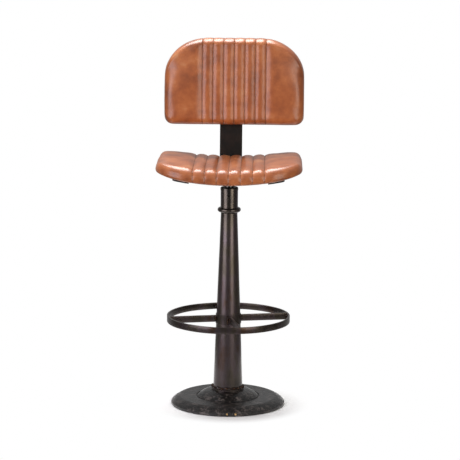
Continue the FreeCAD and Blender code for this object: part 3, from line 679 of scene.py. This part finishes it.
# Lifting screw
# Bright steel bar with a trapezoidal thread of two starts, cut on a lathe and greased, so it
# climbs 8 mm a turn. A collar at its top carries the seat's flange.

screw_low, screw_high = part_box("spindle")
screw_radius = 0.012
core_radius = 0.0099
journal_radius = 0.008
journal_top = screw_low.z + 0.0206
bore_radius = 0.0005  # keeps the turned outline off the axis
collar_radius = 0.014
collar_round = 0.0008
collar_foot = 0.6768
collar_top = 0.683
root_sink = 0.0001  # the thread's roots lie this far under the core's skin
screw_lead = 0.008
screw_starts = 2
smear_size = 0.006
grease_depth = 0.0004
screw_grey = "#5d5955"
screw_grease = "#241c16"

outline = [
    (journal_radius, screw_low.z),
    (journal_radius, journal_top),
    (core_radius, journal_top),
    (core_radius, collar_foot),
    (collar_radius - collar_round, collar_foot),
    (collar_radius, collar_foot + collar_round),
    (collar_radius, collar_top - collar_round),
    (collar_radius - collar_round, collar_top),
    (journal_radius, collar_top),
    (journal_radius, screw_high.z),
    (bore_radius, screw_high.z),
    (bore_radius, screw_low.z),
]
core = turned("lifting_screw", outline, 64)

# Over one pitch: shares of the way along it, and of the way up from root to crest
thread_form = ((0.0, 0.0), (0.22, 0.0), (0.34, 1.0), (0.66, 1.0), (0.78, 0.0), (1.0, 0.0))
pitch = screw_lead / screw_starts
thread_low, thread_high = journal_top + 0.001, collar_foot - 0.0012
thread_steps = 40
turns = (thread_high - thread_low) / screw_lead + 1
points, faces = [], []
for start in range(screw_starts):
    first = len(points)
    count = int(turns * thread_steps)
    for step in range(count + 1):
        turn = 2 * math.pi * step / thread_steps
        base = thread_low - screw_lead + screw_lead * step / thread_steps + start * pitch
        for share, rise in thread_form:
            height = base + share * pitch
            kept = min(max(height, thread_low), thread_high)
            rise = rise if kept == height else 0.0
            reach = core_radius - root_sink + (screw_radius - core_radius) * rise
            points.append((reach * math.cos(turn), reach * math.sin(turn), kept))
    width = len(thread_form)
    for step in range(count):
        for number in range(width - 1):
            corner = first + step * width + number
            faces.append((corner, corner + width, corner + width + 1, corner + 1))
thread = made("screw_thread", points, faces)

# Bright steel with dark grease in the thread's roots.
screw_steel = blank("steel_bright_greased")
place = add(screw_steel, "ShaderNodeTexCoord", output="Object")
smear = add(screw_steel, "ShaderNodeTexNoise", {"Vector": place, "Scale": 1 / smear_size, "Detail": 4.0})
level = add(screw_steel, "ShaderNodeVectorMath", {0: place, 1: (1, 1, 0)}, operation="MULTIPLY")
radius = add(screw_steel, "ShaderNodeVectorMath", {0: level}, output="Value", operation="LENGTH")
crest = add(
    screw_steel,
    "ShaderNodeMapRange",
    {"Value": radius, "From Min": core_radius + grease_depth, "From Max": screw_radius},
)
clean = add(screw_steel, "ShaderNodeMath", {0: crest, 1: smear}, operation="MULTIPLY")
colour = add(
    screw_steel,
    "ShaderNodeValToRGB",
    {"Fac": clean},
    stops=[(0.15, screw_grease), (0.45, screw_grey)],
)
blur = add(screw_steel, "ShaderNodeMapRange", {"Value": smear, "To Min": 0.18, "To Max": 0.4})
surface = add(
    screw_steel,
    "ShaderNodeBsdfPrincipled",
    {"Base Color": colour, "Metallic": 0.9, "Roughness": blur, "Coat Weight": 0.4},
)
add(screw_steel, "ShaderNodeOutputMaterial", {"Surface": surface})
dress(core, screw_steel, "seat", "spindle_steel", "spindle")
dress(thread, screw_steel, "seat", "spindle_steel")


# Back bar, seat flange and seat plate
# Hot-rolled steel: a disc welded on the screw's collar, a flat bar bent up behind the seat,
# and a curved plate between the bar and the seat board. Lacquered near black.

lacquer_black = "#0d0907"
lacquer_brown = "#20150f"
lacquer_cloud = 0.018
pit_size = 0.0022

# Black lacquer over mill scale: near black, a little brown where thin, softly pitted.
lacquered = blank("steel_hot_rolled_lacquered")
place = add(lacquered, "ShaderNodeTexCoord", output="Object")
thin = add(lacquered, "ShaderNodeTexNoise", {"Vector": place, "Scale": 1 / lacquer_cloud, "Detail": 6.0})
pits = add(lacquered, "ShaderNodeTexNoise", {"Vector": place, "Scale": 1 / pit_size, "Detail": 3.0})
colour = add(
    lacquered,
    "ShaderNodeValToRGB",
    {"Fac": thin},
    stops=[(0.4, lacquer_black), (0.68, lacquer_brown)],
)
bump = add(lacquered, "ShaderNodeBump", {"Height": pits, "Strength": 0.25, "Distance": 0.0004})
blur = add(lacquered, "ShaderNodeMapRange", {"Value": pits, "To Min": 0.3, "To Max": 0.5})
surface = add(
    lacquered,
    "ShaderNodeBsdfPrincipled",
    {"Base Color": colour, "Metallic": 0.2, "Roughness": blur, "Normal": bump},
)
add(lacquered, "ShaderNodeOutputMaterial", {"Surface": surface})
clad(lacquered, "back_bar", "spindle_flange", "seat_plate")


# Seat board and back board
# Beech veneers glued and pressed in a mould, the seat's to a saddle. The leather is drawn round
# them and stapled behind.

beech_deep = "#9b7550"
beech_light = "#c9a679"
grain_length = 0.05
grain_width = 0.002
veneer = 0.0015

# Beech plywood: pale, dry, with the veneers' edges as thin stripes.
plywood = blank("beech_plywood_moulded")
place = add(plywood, "ShaderNodeTexCoord", output="Object")
fibre = add(
    plywood,
    "ShaderNodeMapping",
    {"Vector": place, "Scale": (1 / grain_length, 1 / grain_width, 1 / veneer)},
)
grain = add(plywood, "ShaderNodeTexNoise", {"Vector": fibre, "Scale": 1.0, "Detail": 4.0})
colour = add(plywood, "ShaderNodeValToRGB", {"Fac": grain}, stops=[(0.3, beech_deep), (0.7, beech_light)])
bump = add(plywood, "ShaderNodeBump", {"Height": grain, "Strength": 0.2, "Distance": 0.0003})
surface = add(
    plywood, "ShaderNodeBsdfPrincipled", {"Base Color": colour, "Roughness": 0.6, "Normal": bump}
)
add(plywood, "ShaderNodeOutputMaterial", {"Surface": surface})
clad(plywood, "seat_board", "back_board")


# Seat pad
# Waxed tan hide over moulded foam, drawn down along seven sewn seams that make six channels,
# with a plain panel on each side. It is saddle shaped and wraps under the edge of the board.

channel_count = 6
seat_puff = 0.0052  # how high a channel stands over its seams
seam_depth = 0.0028  # how far the seams lie under the pad's plain shape
panel_puff = 0.0030
lip = 0.0008  # the folded hide beside a seam makes a low ridge on its outer side
ridge_offset = 0.0024
ridge_width = 0.0014
puff_power = 2.6  # the higher, the flatter a channel's top and the steeper its sides
panel_reach = 0.007  # how far from its seam a plain panel takes to rise
pucker = 0.00015
pucker_rate = 60  # to the metre
pucker_reach = 0.006
edge_share = 0.3  # round the pad's edges the channels stand out by this share only
seat_width = 0.442
seat_depth = 0.383
seat_front_corner = 0.105
seat_back_corner = 0.068
seat_underside = 0.7068
seat_underside_radius = 0.815
seat_thickness = 0.0425
seat_side_thickness = 0.028
seat_crown = 0.003
seat_top_edge = (0.026, 0.026)
seat_front_edge = (0.031, 0.028)
seat_bottom_edge = 0.009
seat_side_top_edge = 0.019
seat_side_bottom_edge = 0.008
seat_channel = 0.0355
wrap = 0.0004  # the hide comes this far round under the board
slackness = 0.0009  # the plain panels' gentle hollows and swells
slack_rate = 17
slack_reach = 0.02
under_limit = 0.3  # the most of a thin pad's thickness that its lower and upper edges take up
over_limit = 0.88
seat_give = 0.003  # the foam pushes the hide out by less than this
edge_give = 0.05  # and by this share of it where the hide is drawn round under the board
foam_frames = 20
thread_proud = 0.0003

# Places across a channel, as shares of its width, closer together beside the seams
channel_shares = (0, 0.025, 0.05, 0.08, 0.12, 0.18, 0.26, 0.38, 0.5)
channel_shares += tuple(1 - share for share in channel_shares[-2:0:-1])
panel_steps = 24
under_steps, side_steps, edge_steps, top_steps = 40, 3, 8, 60


def edge_drop(radius, distance):
    """How far a rounded edge has fallen at a distance in from its outermost point."""
    if distance >= radius:
        return 0.0
    return radius - math.sqrt(max(radius**2 - (radius - distance) ** 2, 0))


def run(start, end, steps, crown=0.0):
    """Points along a line that may be crowned, without its end."""
    points = []
    for step in range(steps):
        share = step / steps
        rise = crown * 16 * (share * (1 - share)) ** 2
        along = start[0] + (end[0] - start[0]) * share
        points.append((along, start[1] + (end[1] - start[1]) * share + rise))
    return points


def quarter(middle, reach, first, steps):
    """Points along a quarter of an ellipse from an angle in degrees on, without its end."""
    points = []
    for step in range(steps):
        turn = math.radians(first + 90 * step / steps)
        points.append((middle[0] + reach[0] * math.cos(turn), middle[1] + reach[1] * math.sin(turn)))
    return points


def pad_loop(start, end, low, high, low_edge, start_edge, end_edge, crown):
    """Section of a pad: along its underside, up its end, back over the top and down its start.
    Each of the top's two edges is rounded by a pair: along the pad, and through its thickness."""
    tall = high - low
    under = min(low_edge, under_limit * tall)
    start_edge, first = start_edge
    end_edge, last = end_edge
    first = min(first, over_limit * tall)
    last = min(last, over_limit * tall)
    return (
        run((start + under, low), (end - under, low), under_steps)
        + quarter((end - under, low + under), (under, under), -90, edge_steps)
        + run((end, low + under), (end, high - last), side_steps)
        + quarter((end - end_edge, high - last), (end_edge, last), 0, edge_steps)
        + run((end - end_edge, high), (start + start_edge, high), top_steps, crown)
        + quarter((start + start_edge, high - first), (start_edge, first), 90, edge_steps)
        + run((start, high - first), (start, low + under), side_steps)
        + quarter((start + under, low + under), (under, under), 180, edge_steps)
    )


def pad_stations(side, channel, puff):
    """Places across a pad, each with how far the hide stands out there and whether it is sewn."""
    seam = channel_count * channel / 2
    left = []
    for step in range(panel_steps):
        share = math.sin(math.pi / 2 * step / panel_steps)
        x = seam + (side - seam) * math.cos(math.pi / 2 * share)
        gone = (x - seam) / (side - seam)
        rise = (panel_puff + seam_depth) * (1 - math.exp((seam - x) / panel_reach)) - seam_depth
        ridge = lip * math.exp(-(((x - seam - ridge_offset) / ridge_width) ** 2))
        left.append((-x, (rise + ridge) * (1 - gone**4), step == 0))
    middle = []
    for number in range(channel_count):
        for share in channel_shares:
            x = (number + share) * channel - seam
            rise = puff * (1 - abs(2 * share - 1) ** puff_power) - seam_depth
            outer = share if number >= channel_count / 2 else 1 - share
            ridge = lip * math.exp(-(((outer * channel - ridge_offset) / ridge_width) ** 2))
            middle.append((x, rise + (ridge if share else 0), share == 0))
    right = [(-x, rise, held) for x, rise, held in reversed(left)]
    return left + middle + [(seam, -seam_depth, True)] + right


def skinned(name, loops, sharp=180):
    """Closed mesh over a row of section loops that all have as many points."""
    points = [point for loop in loops for point in loop]
    return made(name, points, ring_faces(0, len(loops), len(loops[0])), sharp=sharp)


def swollen(piece, held, caps):
    """Blows the hide up between the points that hold it; none moves further than its cap."""
    group = piece.vertex_groups.new(name="held")
    group.add(held, 1.0, "REPLACE")
    cloth = piece.modifiers.new("foam_pressure", "CLOTH")
    cloth.settings.quality = 5
    cloth.settings.mass = 0.3
    cloth.settings.tension_stiffness = 20
    cloth.settings.compression_stiffness = 20
    cloth.settings.bending_stiffness = 0.6
    cloth.settings.use_pressure = True
    cloth.settings.uniform_pressure_force = 4.0
    cloth.settings.vertex_group_mass = "held"
    cloth.settings.shrink_min = -0.002
    cloth.settings.effector_weights.gravity = 0.0
    cloth.point_cache.frame_start = 1
    cloth.point_cache.frame_end = foam_frames
    for step in range(1, foam_frames + 1):
        bpy.context.scene.frame_set(step)
    shown = piece.evaluated_get(bpy.context.evaluated_depsgraph_get())
    ends = [vertex.co.copy() for vertex in shown.data.vertices]
    piece.modifiers.clear()
    for vertex, end, cap in zip(piece.data.vertices, ends, caps):
        move = end - vertex.co
        vertex.co += move * cap / (cap + move.length)
    bpy.context.scene.frame_set(1)


def upholstered(name, loops, stations, cap):
    """Pad with puckers along its seams, swollen by its foam, and the lines of its seams."""
    piece = skinned(name, loops)
    count = len(loops[0])
    rows = range(len(loops))
    sewn = [row for row in rows if stations[row][2]]
    normals = [vertex.normal.copy() for vertex in piece.data.vertices]
    for row in rows:
        near = min(abs(stations[row][0] - stations[seam][0]) for seam in sewn)
        for step in range(under_steps, count - edge_steps):
            point = piece.data.vertices[row * count + step].co
            gather = noise.noise(point * pucker_rate) * pucker * math.exp(-near / pucker_reach)
            loose = 1 - math.exp(-near / slack_reach)
            slack = noise.noise(point * slack_rate) * slackness * loose
            point += normals[row * count + step] * (gather + slack)
    held = [row * count + step for row in sewn for step in range(count)]
    held += [row * count + step for row in rows for step in range(under_steps)]
    first_top = under_steps + 2 * edge_steps + side_steps
    caps = []
    for row in rows:
        for step in range(count):
            past = max(first_top - step, step - first_top - top_steps, 0)
            caps.append(cap * max(1 - past / (edge_steps + side_steps), edge_give))
    swollen(piece, held, caps)
    piece.data.update()
    normals = [vertex.normal.copy() for vertex in piece.data.vertices]
    lines = []
    for row in sewn[1:-1]:
        line = []
        for step in range(under_steps + edge_steps, count - edge_steps):
            place = row * count + step
            line.append(piece.data.vertices[place].co + normals[place] * thread_proud)
        lines.append(line)
    piece.modifiers.new("soft", "SUBSURF").levels = 1
    shown = piece.evaluated_get(bpy.context.evaluated_depsgraph_get())
    piece.data = bpy.data.meshes.new_from_object(shown)
    piece.modifiers.clear()
    piece.vertex_groups.clear()
    piece.data.shade_smooth()
    return piece, lines


def seat_loop(x, lift):
    """Section of the seat pad at x, with the hide standing out by lift."""
    away = seat_width / 2 - abs(x)
    side_rise = (
        seat_underside_radius
        - math.sqrt(seat_underside_radius**2 - (seat_width / 2) ** 2)
        + seat_side_thickness
        - seat_thickness
    )
    top_radius = ((seat_width / 2) ** 2 + side_rise**2) / (2 * side_rise)
    front = -seat_depth / 2 + edge_drop(seat_front_corner, away) - lift * edge_share
    back = seat_depth / 2 - edge_drop(seat_back_corner, away) + lift * edge_share
    curve = seat_underside_radius - math.sqrt(seat_underside_radius**2 - x**2)
    low = seat_underside + curve - wrap + edge_drop(seat_side_bottom_edge, away)
    rise = top_radius - math.sqrt(top_radius**2 - x**2)
    high = seat_underside + seat_thickness + rise + lift - edge_drop(seat_side_top_edge, away)
    section = pad_loop(
        front, back, low, high, seat_bottom_edge, seat_front_edge, seat_top_edge, seat_crown
    )
    return [(x, y, z) for y, z in section]


stations = pad_stations(seat_width / 2, seat_channel, seat_puff)
loops = [seat_loop(x, lift) for x, lift, held in stations]
seat, seat_seams = upholstered("seat_leather", loops, stations, seat_give)

hide_deep = "#804427"
hide_tan = "#a35a30"
hide_warm = "#b36839"
hide_pale = "#c28456"
seam_dirt_and_shade = "#663618"
dye_cloud = 0.06
fold_width = 0.0022
pore_size = 0.0013  # drawn a little coarser than real pores, so that they show
crease_size = 0.007


def waxed_hide(name, channel, middle):
    """Hide over channels of a width whose middle seam is at x = middle."""
    hide = blank(name)
    place = add(hide, "ShaderNodeTexCoord", output="Object")
    clouds = add(
        hide,
        "ShaderNodeTexNoise",
        {"Vector": place, "Scale": 1 / dye_cloud, "Detail": 6.0, "Roughness": 0.62},
    )
    colour = add(
        hide,
        "ShaderNodeValToRGB",
        {"Fac": clouds},
        stops=[(0.3, hide_deep), (0.48, hide_tan), (0.6, hide_warm), (0.76, hide_pale)],
    )
    # Painted shade, with some dirt: the hide darkens in a narrow band along each seam of the channels.
    across = add(hide, "ShaderNodeSeparateXYZ", {0: place}, output="X")
    offset = add(hide, "ShaderNodeMath", {0: across, 1: middle}, operation="SUBTRACT")
    near = add(hide, "ShaderNodeMath", {0: offset, 1: channel / 2}, operation="PINGPONG")
    folded = add(
        hide,
        "ShaderNodeMapRange",
        {
            "Value": near,
            "From Min": 0.0003,
            "From Max": fold_width,
            "To Min": 0.7,
            "To Max": 0.0,
        },
    )
    inside = add(hide, "ShaderNodeMath", {0: offset}, operation="ABSOLUTE")
    inside = add(
        hide,
        "ShaderNodeMath",
        {0: inside, 1: channel * (channel_count / 2 + 0.2)},
        operation="LESS_THAN",
    )
    dirt_and_shade = add(hide, "ShaderNodeMath", {0: folded, 1: inside}, operation="MULTIPLY")
    colour = add(hide, "ShaderNodeMixRGB", {"Fac": dirt_and_shade, "Color1": colour, "Color2": linear(seam_dirt_and_shade)})
    pores = add(
        hide,
        "ShaderNodeTexVoronoi",
        {"Vector": place, "Scale": 1 / pore_size},
        feature="SMOOTH_F1",
    )
    creases = add(hide, "ShaderNodeTexNoise", {"Vector": place, "Scale": 1 / crease_size, "Detail": 5.0})
    grain = add(hide, "ShaderNodeMath", {0: pores, 1: creases}, operation="ADD")
    bump = add(hide, "ShaderNodeBump", {"Height": grain, "Strength": 0.1, "Distance": 0.0006})
    blur = add(hide, "ShaderNodeMapRange", {"Value": clouds, "To Min": 0.42, "To Max": 0.6})
    surface = add(
        hide,
        "ShaderNodeBsdfPrincipled",
        {
            "Base Color": colour,
            "Roughness": blur,
            "Normal": bump,
            "Specular IOR Level": 0.25,
            "Coat Weight": 0.9,
            "Coat Roughness": 0.28,
        },
    )
    add(hide, "ShaderNodeOutputMaterial", {"Surface": surface})
    return hide


# Aniline-dyed hide, waxed and rubbed: cloudy tan, darkened along the seams by painted shade and some
# dirt, with a fine grain, and a close gloss that turns cream on the rounded edges under a lamp.
seat_hide = waxed_hide("leather_aniline_waxed_seat", seat_channel, 0.0)
dress(seat, seat_hide, "seat", "leather", "seat_pad")


# Thread in the seat's seams
# Waxed polyester thread, sewn by machine with eight stitches to 50 mm. It pulls the hide down
# into the folds between the channels.

stitch_length = 0.0046
stitch_gap = 0.0016
thread_radius = 0.00034
twist_size = 0.0008
thread_brown = "#7d4c2e"
thread_light = "#a06a44"


def stitched(name, lines):
    """Rows of stitches along lines of points, each stitch a short strand, thinner at its ends."""
    sides, rings = 6, 5
    points, faces = [], []
    for line in lines:
        lengths = [0.0]
        for before, after in zip(line, line[1:]):
            lengths.append(lengths[-1] + (after - before).length)

        def at(distance):
            """Point on the line at a distance along it."""
            number = 1
            while number < len(lengths) - 1 and lengths[number] < distance:
                number += 1
            share = (distance - lengths[number - 1]) / (lengths[number] - lengths[number - 1])
            return line[number - 1].lerp(line[number], share)

        start = stitch_gap
        while start + stitch_length < lengths[-1]:
            first = len(points)
            for ring in range(rings):
                share = ring / (rings - 1)
                centre = at(start + share * stitch_length)
                ahead = at(start + share * stitch_length + 0.0004) - centre
                ahead.normalize()
                sideways = Vector((1, 0, 0))
                out = sideways.cross(ahead)
                thick = thread_radius * (0.35 + 0.65 * math.sin(math.pi * share))
                for side in range(sides):
                    turn = 2 * math.pi * side / sides
                    skin = sideways * thick * math.cos(turn)
                    points.append(centre + skin + out * thick * math.sin(turn))
            faces += ring_faces(first, rings, sides)
            start += stitch_length + stitch_gap
    return made(name, points, faces, sharp=80)


# Waxed thread: a shade darker than the hide, twisted, with little gloss.
tones = [(0.35, thread_brown), (0.65, thread_light)]
finish = {"Roughness": 0.5}
yarn = mottled("polyester_thread_waxed", twist_size, 2.0, tones, 0.3, 0.0002, finish)
dress(stitched("seat_stitches", seat_seams), yarn, "seat", "leather")


# Dust cover under the seat
# Thin black woven cloth, stapled over the board and the hide's turned-in edge. The plate holds
# it up in the middle, and it hangs a hair loose round that.

cover_inset = 0.014
cover_thickness = 0.001
cover_gap = 0.00005
cover_sag = 0.0006
sag_rate = 25  # to the metre
sheet_edge = 0.0003
hem = (sheet_edge, sheet_edge)
cloth_black = "#0f0e0e"
cloth_grey = "#2b2828"
cloth_thread = 0.0014  # drawn coarser than the real weave, so that it shows


def cover_loop(x):
    """Section of the dust cover at x."""
    away = seat_width / 2 - cover_inset - abs(x)
    front = -seat_depth / 2 + cover_inset
    front += edge_drop(seat_front_corner - cover_inset, away)
    back = seat_depth / 2 - cover_inset - edge_drop(seat_back_corner - cover_inset, away)
    curve = seat_underside_radius - math.sqrt(seat_underside_radius**2 - x**2)
    top = seat_underside + curve - cover_gap
    loop = []
    for y, z in pad_loop(front, back, top - cover_thickness, top, sheet_edge, hem, hem, 0):
        if z < top - cover_thickness / 2:
            z -= cover_sag * max(noise.noise(Vector((x, y, 0)) * sag_rate), 0)
        loop.append((x, y, z))
    return loop


def sheet_places(reach):
    """Places across a sheet that reaches so far to each side, closer together towards the sides."""
    return [math.sin(math.pi / 2 * step / 30) * reach for step in range(-30, 31)]


loops = [cover_loop(x) for x in sheet_places(seat_width / 2 - cover_inset)]
cover = skinned("dust_cover", loops, sharp=50)

# Woven black polypropylene: dull, with an open plain weave.
black_cloth = blank("polypropylene_cloth_woven")
place = add(black_cloth, "ShaderNodeTexCoord", output="Object")
warp = add(
    black_cloth,
    "ShaderNodeTexWave",
    {"Vector": place, "Scale": half_wave / cloth_thread},
    output="Fac",
    bands_direction="X",
)
weft = add(
    black_cloth,
    "ShaderNodeTexWave",
    {"Vector": place, "Scale": half_wave / cloth_thread},
    output="Fac",
    bands_direction="Y",
)
weave = add(black_cloth, "ShaderNodeMath", {0: warp, 1: weft}, operation="MULTIPLY")
colour = add(
    black_cloth, "ShaderNodeValToRGB", {"Fac": weave}, stops=[(0.1, cloth_black), (0.8, cloth_grey)]
)
bump = add(black_cloth, "ShaderNodeBump", {"Height": weave, "Strength": 0.4, "Distance": 0.0003})
surface = add(
    black_cloth,
    "ShaderNodeBsdfPrincipled",
    {"Base Color": colour, "Roughness": 0.9, "Sheen Weight": 0.2, "Normal": bump},
)
add(black_cloth, "ShaderNodeOutputMaterial", {"Surface": surface})
dress(cover, black_cloth, "seat", "black_cloth", "seat_cover")


# Back pad
# Made like the seat pad, flat behind, its upper corners rounded large and its channels run
# over the top edge. It leans back with the bar that it is bolted to.

back_middle = (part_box("back_pad")[0].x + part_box("back_pad")[1].x) / 2
back_width = 0.436
back_height = 0.270
back_thickness = 0.048
back_rise = 0.1357
back_foot_corner = 0.027
back_shoulder_width = 0.140
back_shoulder_height = 0.118
back_side_edge = 0.026
back_foot_edge = (0.020, 0.024)
back_top_edge = (0.024, 0.044)
back_rear_edge = 0.006
back_swell = 0.008
back_channel = 0.033
back_puff = 0.0050
back_give = 0.002
bar_face = 0.200
recline = math.radians(7)


def leaned(x, height, depth):
    """Point at a height along the bar and a depth in front of its face."""
    y = bar_face - depth * math.cos(recline) + height * math.sin(recline)
    z = seat_underside + depth * math.sin(recline) + height * math.cos(recline)
    return (x + back_middle, y, z)


def back_loop(x, lift):
    """Section of the back pad at x, with the hide standing out by lift."""
    away = back_width / 2 - abs(x)
    shoulder = min(max(1 - away / back_shoulder_width, 0), 1)
    fall = back_shoulder_height * (1 - math.sqrt(1 - shoulder**2))
    foot = back_rise + edge_drop(back_foot_corner, away)
    top = back_rise + back_height - fall + lift * edge_share
    rear = cover_thickness - wrap + edge_drop(back_rear_edge, away)
    face = cover_thickness + back_thickness - edge_drop(back_side_edge, away) + lift
    section = pad_loop(foot, top, rear, face, back_rear_edge, back_foot_edge, back_top_edge, back_swell)
    return [leaned(x, height, depth) for height, depth in section]


stations = pad_stations(back_width / 2, back_channel, back_puff)
loops = [back_loop(x, lift) for x, lift, held in stations]
back, back_seams = upholstered("back_leather", loops, stations, back_give)

# The same hide as the seat's, laid over narrower channels.
back_hide = waxed_hide("leather_aniline_waxed_back", back_channel, back_middle)
dress(back, back_hide, "seat", "leather", "back_pad")
dress(stitched("back_stitches", back_seams), yarn, "seat", "leather")


# Rear cover of the back
# A panel of the same hide with a turned-in edge, glued over the board and the pad's own
# turned-in hide, and pinched under the bar.

rear_corner = 0.014
rear_shoulder = 0.104
rear_pillow = 0.0011  # the panel stands out by this much, but not under the bar
pinched = 0.037  # as far to each side as the bar pinches it, and the way that it takes to rise
pillow_reach = 0.03
hem_reach = 0.02


def rear_loop(x):
    """Section of the rear cover at x."""
    away = back_width / 2 - cover_inset - abs(x)
    foot = back_rise + cover_inset + edge_drop(rear_corner, away)
    top = back_rise + back_height - cover_inset - edge_drop(rear_shoulder, away)
    beyond = min(max((abs(x) - pinched) / pillow_reach, 0), 1)
    inward = min(away / hem_reach, 1)
    loop = []
    for height, depth in pad_loop(foot, top, 0, cover_thickness, sheet_edge, hem, hem, 0):
        if depth < cover_thickness / 2:
            near = min((height - foot) / hem_reach, (top - height) / hem_reach, inward, 1)
            depth -= rear_pillow * beyond * max(near, 0) ** 0.5
        loop.append(leaned(x, height, depth))
    return loop


loops = [rear_loop(x) for x in sheet_places(back_width / 2 - cover_inset)]
rear = skinned("rear_panel", loops, sharp=50)

# The hide once more, with no channels.
rear_hide = waxed_hide("leather_aniline_waxed_panel", 1.0, 0.5)
dress(rear, rear_hide, "seat", "leather", "back_rear_cover")


# Room
# A white floor that keeps the stool's shadow, a pale backdrop behind, and soft lamps on both
# sides and above. The side behind the camera is dimmer, so that steel keeps its dark parts.

floor_radius = 0.7
floor_steps = 96
shade_inner = 0.19  # the floor's own shade is whole this far out, and is gone at the next
shade_outer = 0.26
dim_side = 0.09
backdrop_side = 0.32
backdrop_edge = 0.2  # the backdrop begins where a direction points back by this share
ceiling = 0.42
ceiling_edge = 0.2
ceiling_full = 0.6

rim = []
for step in range(floor_steps):
    turn = 2 * math.pi * step / floor_steps
    rim.append((floor_radius * math.cos(turn), floor_radius * math.sin(turn), 0))
floor = made("floor", rim, [tuple(range(floor_steps))])

# Matte white paper; the camera sees it pass into plain white a little way out.
paper = blank("paper_matte_white")
matte = add(paper, "ShaderNodeBsdfDiffuse", {"Color": linear("#ececec")})
white = add(paper, "ShaderNodeEmission", {"Color": linear("#ffffff"), "Strength": 1.0})
place = add(paper, "ShaderNodeTexCoord", output="Object")
far = add(paper, "ShaderNodeVectorMath", {0: place}, output="Value", operation="LENGTH")
beyond = add(
    paper,
    "ShaderNodeMapRange",
    {"Value": far, "From Min": shade_inner, "From Max": shade_outer},
    interpolation_type="SMOOTHSTEP",
)
seen = add(paper, "ShaderNodeMixShader", {0: beyond, 1: matte, 2: white})
ray = add(paper, "ShaderNodeLightPath", output="Is Camera Ray")
surface = add(paper, "ShaderNodeMixShader", {0: ray, 1: matte, 2: seen})
add(paper, "ShaderNodeOutputMaterial", {"Surface": surface})
floor.data.materials.append(paper)

world = bpy.data.worlds.new("studio")
bpy.context.scene.world = world
world.use_nodes = True
world.node_tree.nodes.clear()
direction = add(world, "ShaderNodeTexCoord", output="Generated")
behind = add(world, "ShaderNodeSeparateXYZ", {0: direction}, output="Y")
level = add(
    world,
    "ShaderNodeMapRange",
    {
        "Value": behind,
        "From Min": backdrop_edge,
        "From Max": 1.0,
        "To Min": dim_side,
        "To Max": backdrop_side,
    },
    interpolation_type="SMOOTHSTEP",
)
upward = add(world, "ShaderNodeSeparateXYZ", {0: direction}, output="Z")
over = add(
    world,
    "ShaderNodeMapRange",
    {"Value": upward, "From Min": ceiling_edge, "From Max": ceiling_full, "To Max": ceiling},
    interpolation_type="SMOOTHSTEP",
)
level = add(world, "ShaderNodeMath", {0: level, 1: over}, operation="MAXIMUM")
# The camera sees plain white all round; the dimmer room is for light and reflections alone.
around = add(world, "ShaderNodeBackground", {"Color": linear("#ffffff"), "Strength": level})
plain = add(world, "ShaderNodeBackground", {"Color": linear("#ffffff"), "Strength": 1.0})
seen = add(world, "ShaderNodeLightPath", output="Is Camera Ray")
through = add(world, "ShaderNodeLightPath", output="Is Transmission Ray")
clear = add(world, "ShaderNodeMath", {0: seen, 1: through}, operation="MAXIMUM")
mix = add(world, "ShaderNodeMixShader", {0: clear, 1: around, 2: plain})
add(world, "ShaderNodeOutputWorld", {"Surface": mix})


def lamp(name, place, aim, width, height, brightness, colour):
    """Rectangular soft lamp turned to a point; its power goes with its brightness and its area."""
    light = bpy.data.lights.new(name, "AREA")
    light.shape = "RECTANGLE"
    light.size = width
    light.size_y = height
    light.energy = brightness * math.pi * width * height
    light.color = linear(colour)[:3]
    holder = bpy.data.objects.new(name, light)
    bpy.context.scene.collection.objects.link(holder)
    holder.visible_camera = False
    holder.location = place
    holder.rotation_euler = (Vector(aim) - Vector(place)).to_track_quat("-Z", "Y").to_euler()
    return holder


lamp("lamp_left", (-2.0, -1.65, 1.25), (0, 0, 0.9), 1.9, 2.4, 3.5, "#fbf6ff")
lamp("lamp_right", (1.6, -2.05, 1.25), (0, 0, 0.9), 1.45, 2.4, 3.1, "#fff8ec")
above = lamp("lamp_above", (-0.25, 0.88, 2.91), (0, -0.17, 0.75), 1.6, 1.6, 10.5, "#ffffff")
# A flag keeps the lamp above off the iron, which stays dark but for the side lamps.
flagged = bpy.data.collections.new("flagged")
flagged.objects.link(bpy.data.objects["base_casting"])
flagged.collection_objects[0].light_linking.link_state = "EXCLUDE"
above.light_linking.receiver_collection = flagged


# Camera
# It stands at the height and distance that the picture's perspective gives, a little to the
# right of the stool's middle, and looks down by nearly ten degrees.

camera_distance = 6.33775
camera_height = 1.63255
focal_pixels = 2103.24
frame_pixels = 460
pitch = math.radians(9.7545)
turn = math.radians(1.1)
roll = math.radians(0.452)
yaw = math.radians(0.026)

view = bpy.data.cameras.new("camera")
view.sensor_width = 36.0
view.lens = focal_pixels / frame_pixels * view.sensor_width
camera = bpy.data.objects.new("camera", view)
bpy.context.scene.collection.objects.link(camera)
spot = Vector((camera_distance * math.sin(turn), -camera_distance * math.cos(turn), camera_height))
facing = Matrix.Rotation(turn - yaw, 4, "Z") @ Matrix.Rotation(math.pi / 2 - pitch, 4, "X")
camera.matrix_world = Matrix.Translation(spot) @ facing @ Matrix.Rotation(roll, 4, "Z")
bpy.context.scene.camera = camera
bpy.context.scene.view_settings.view_transform = "Standard"
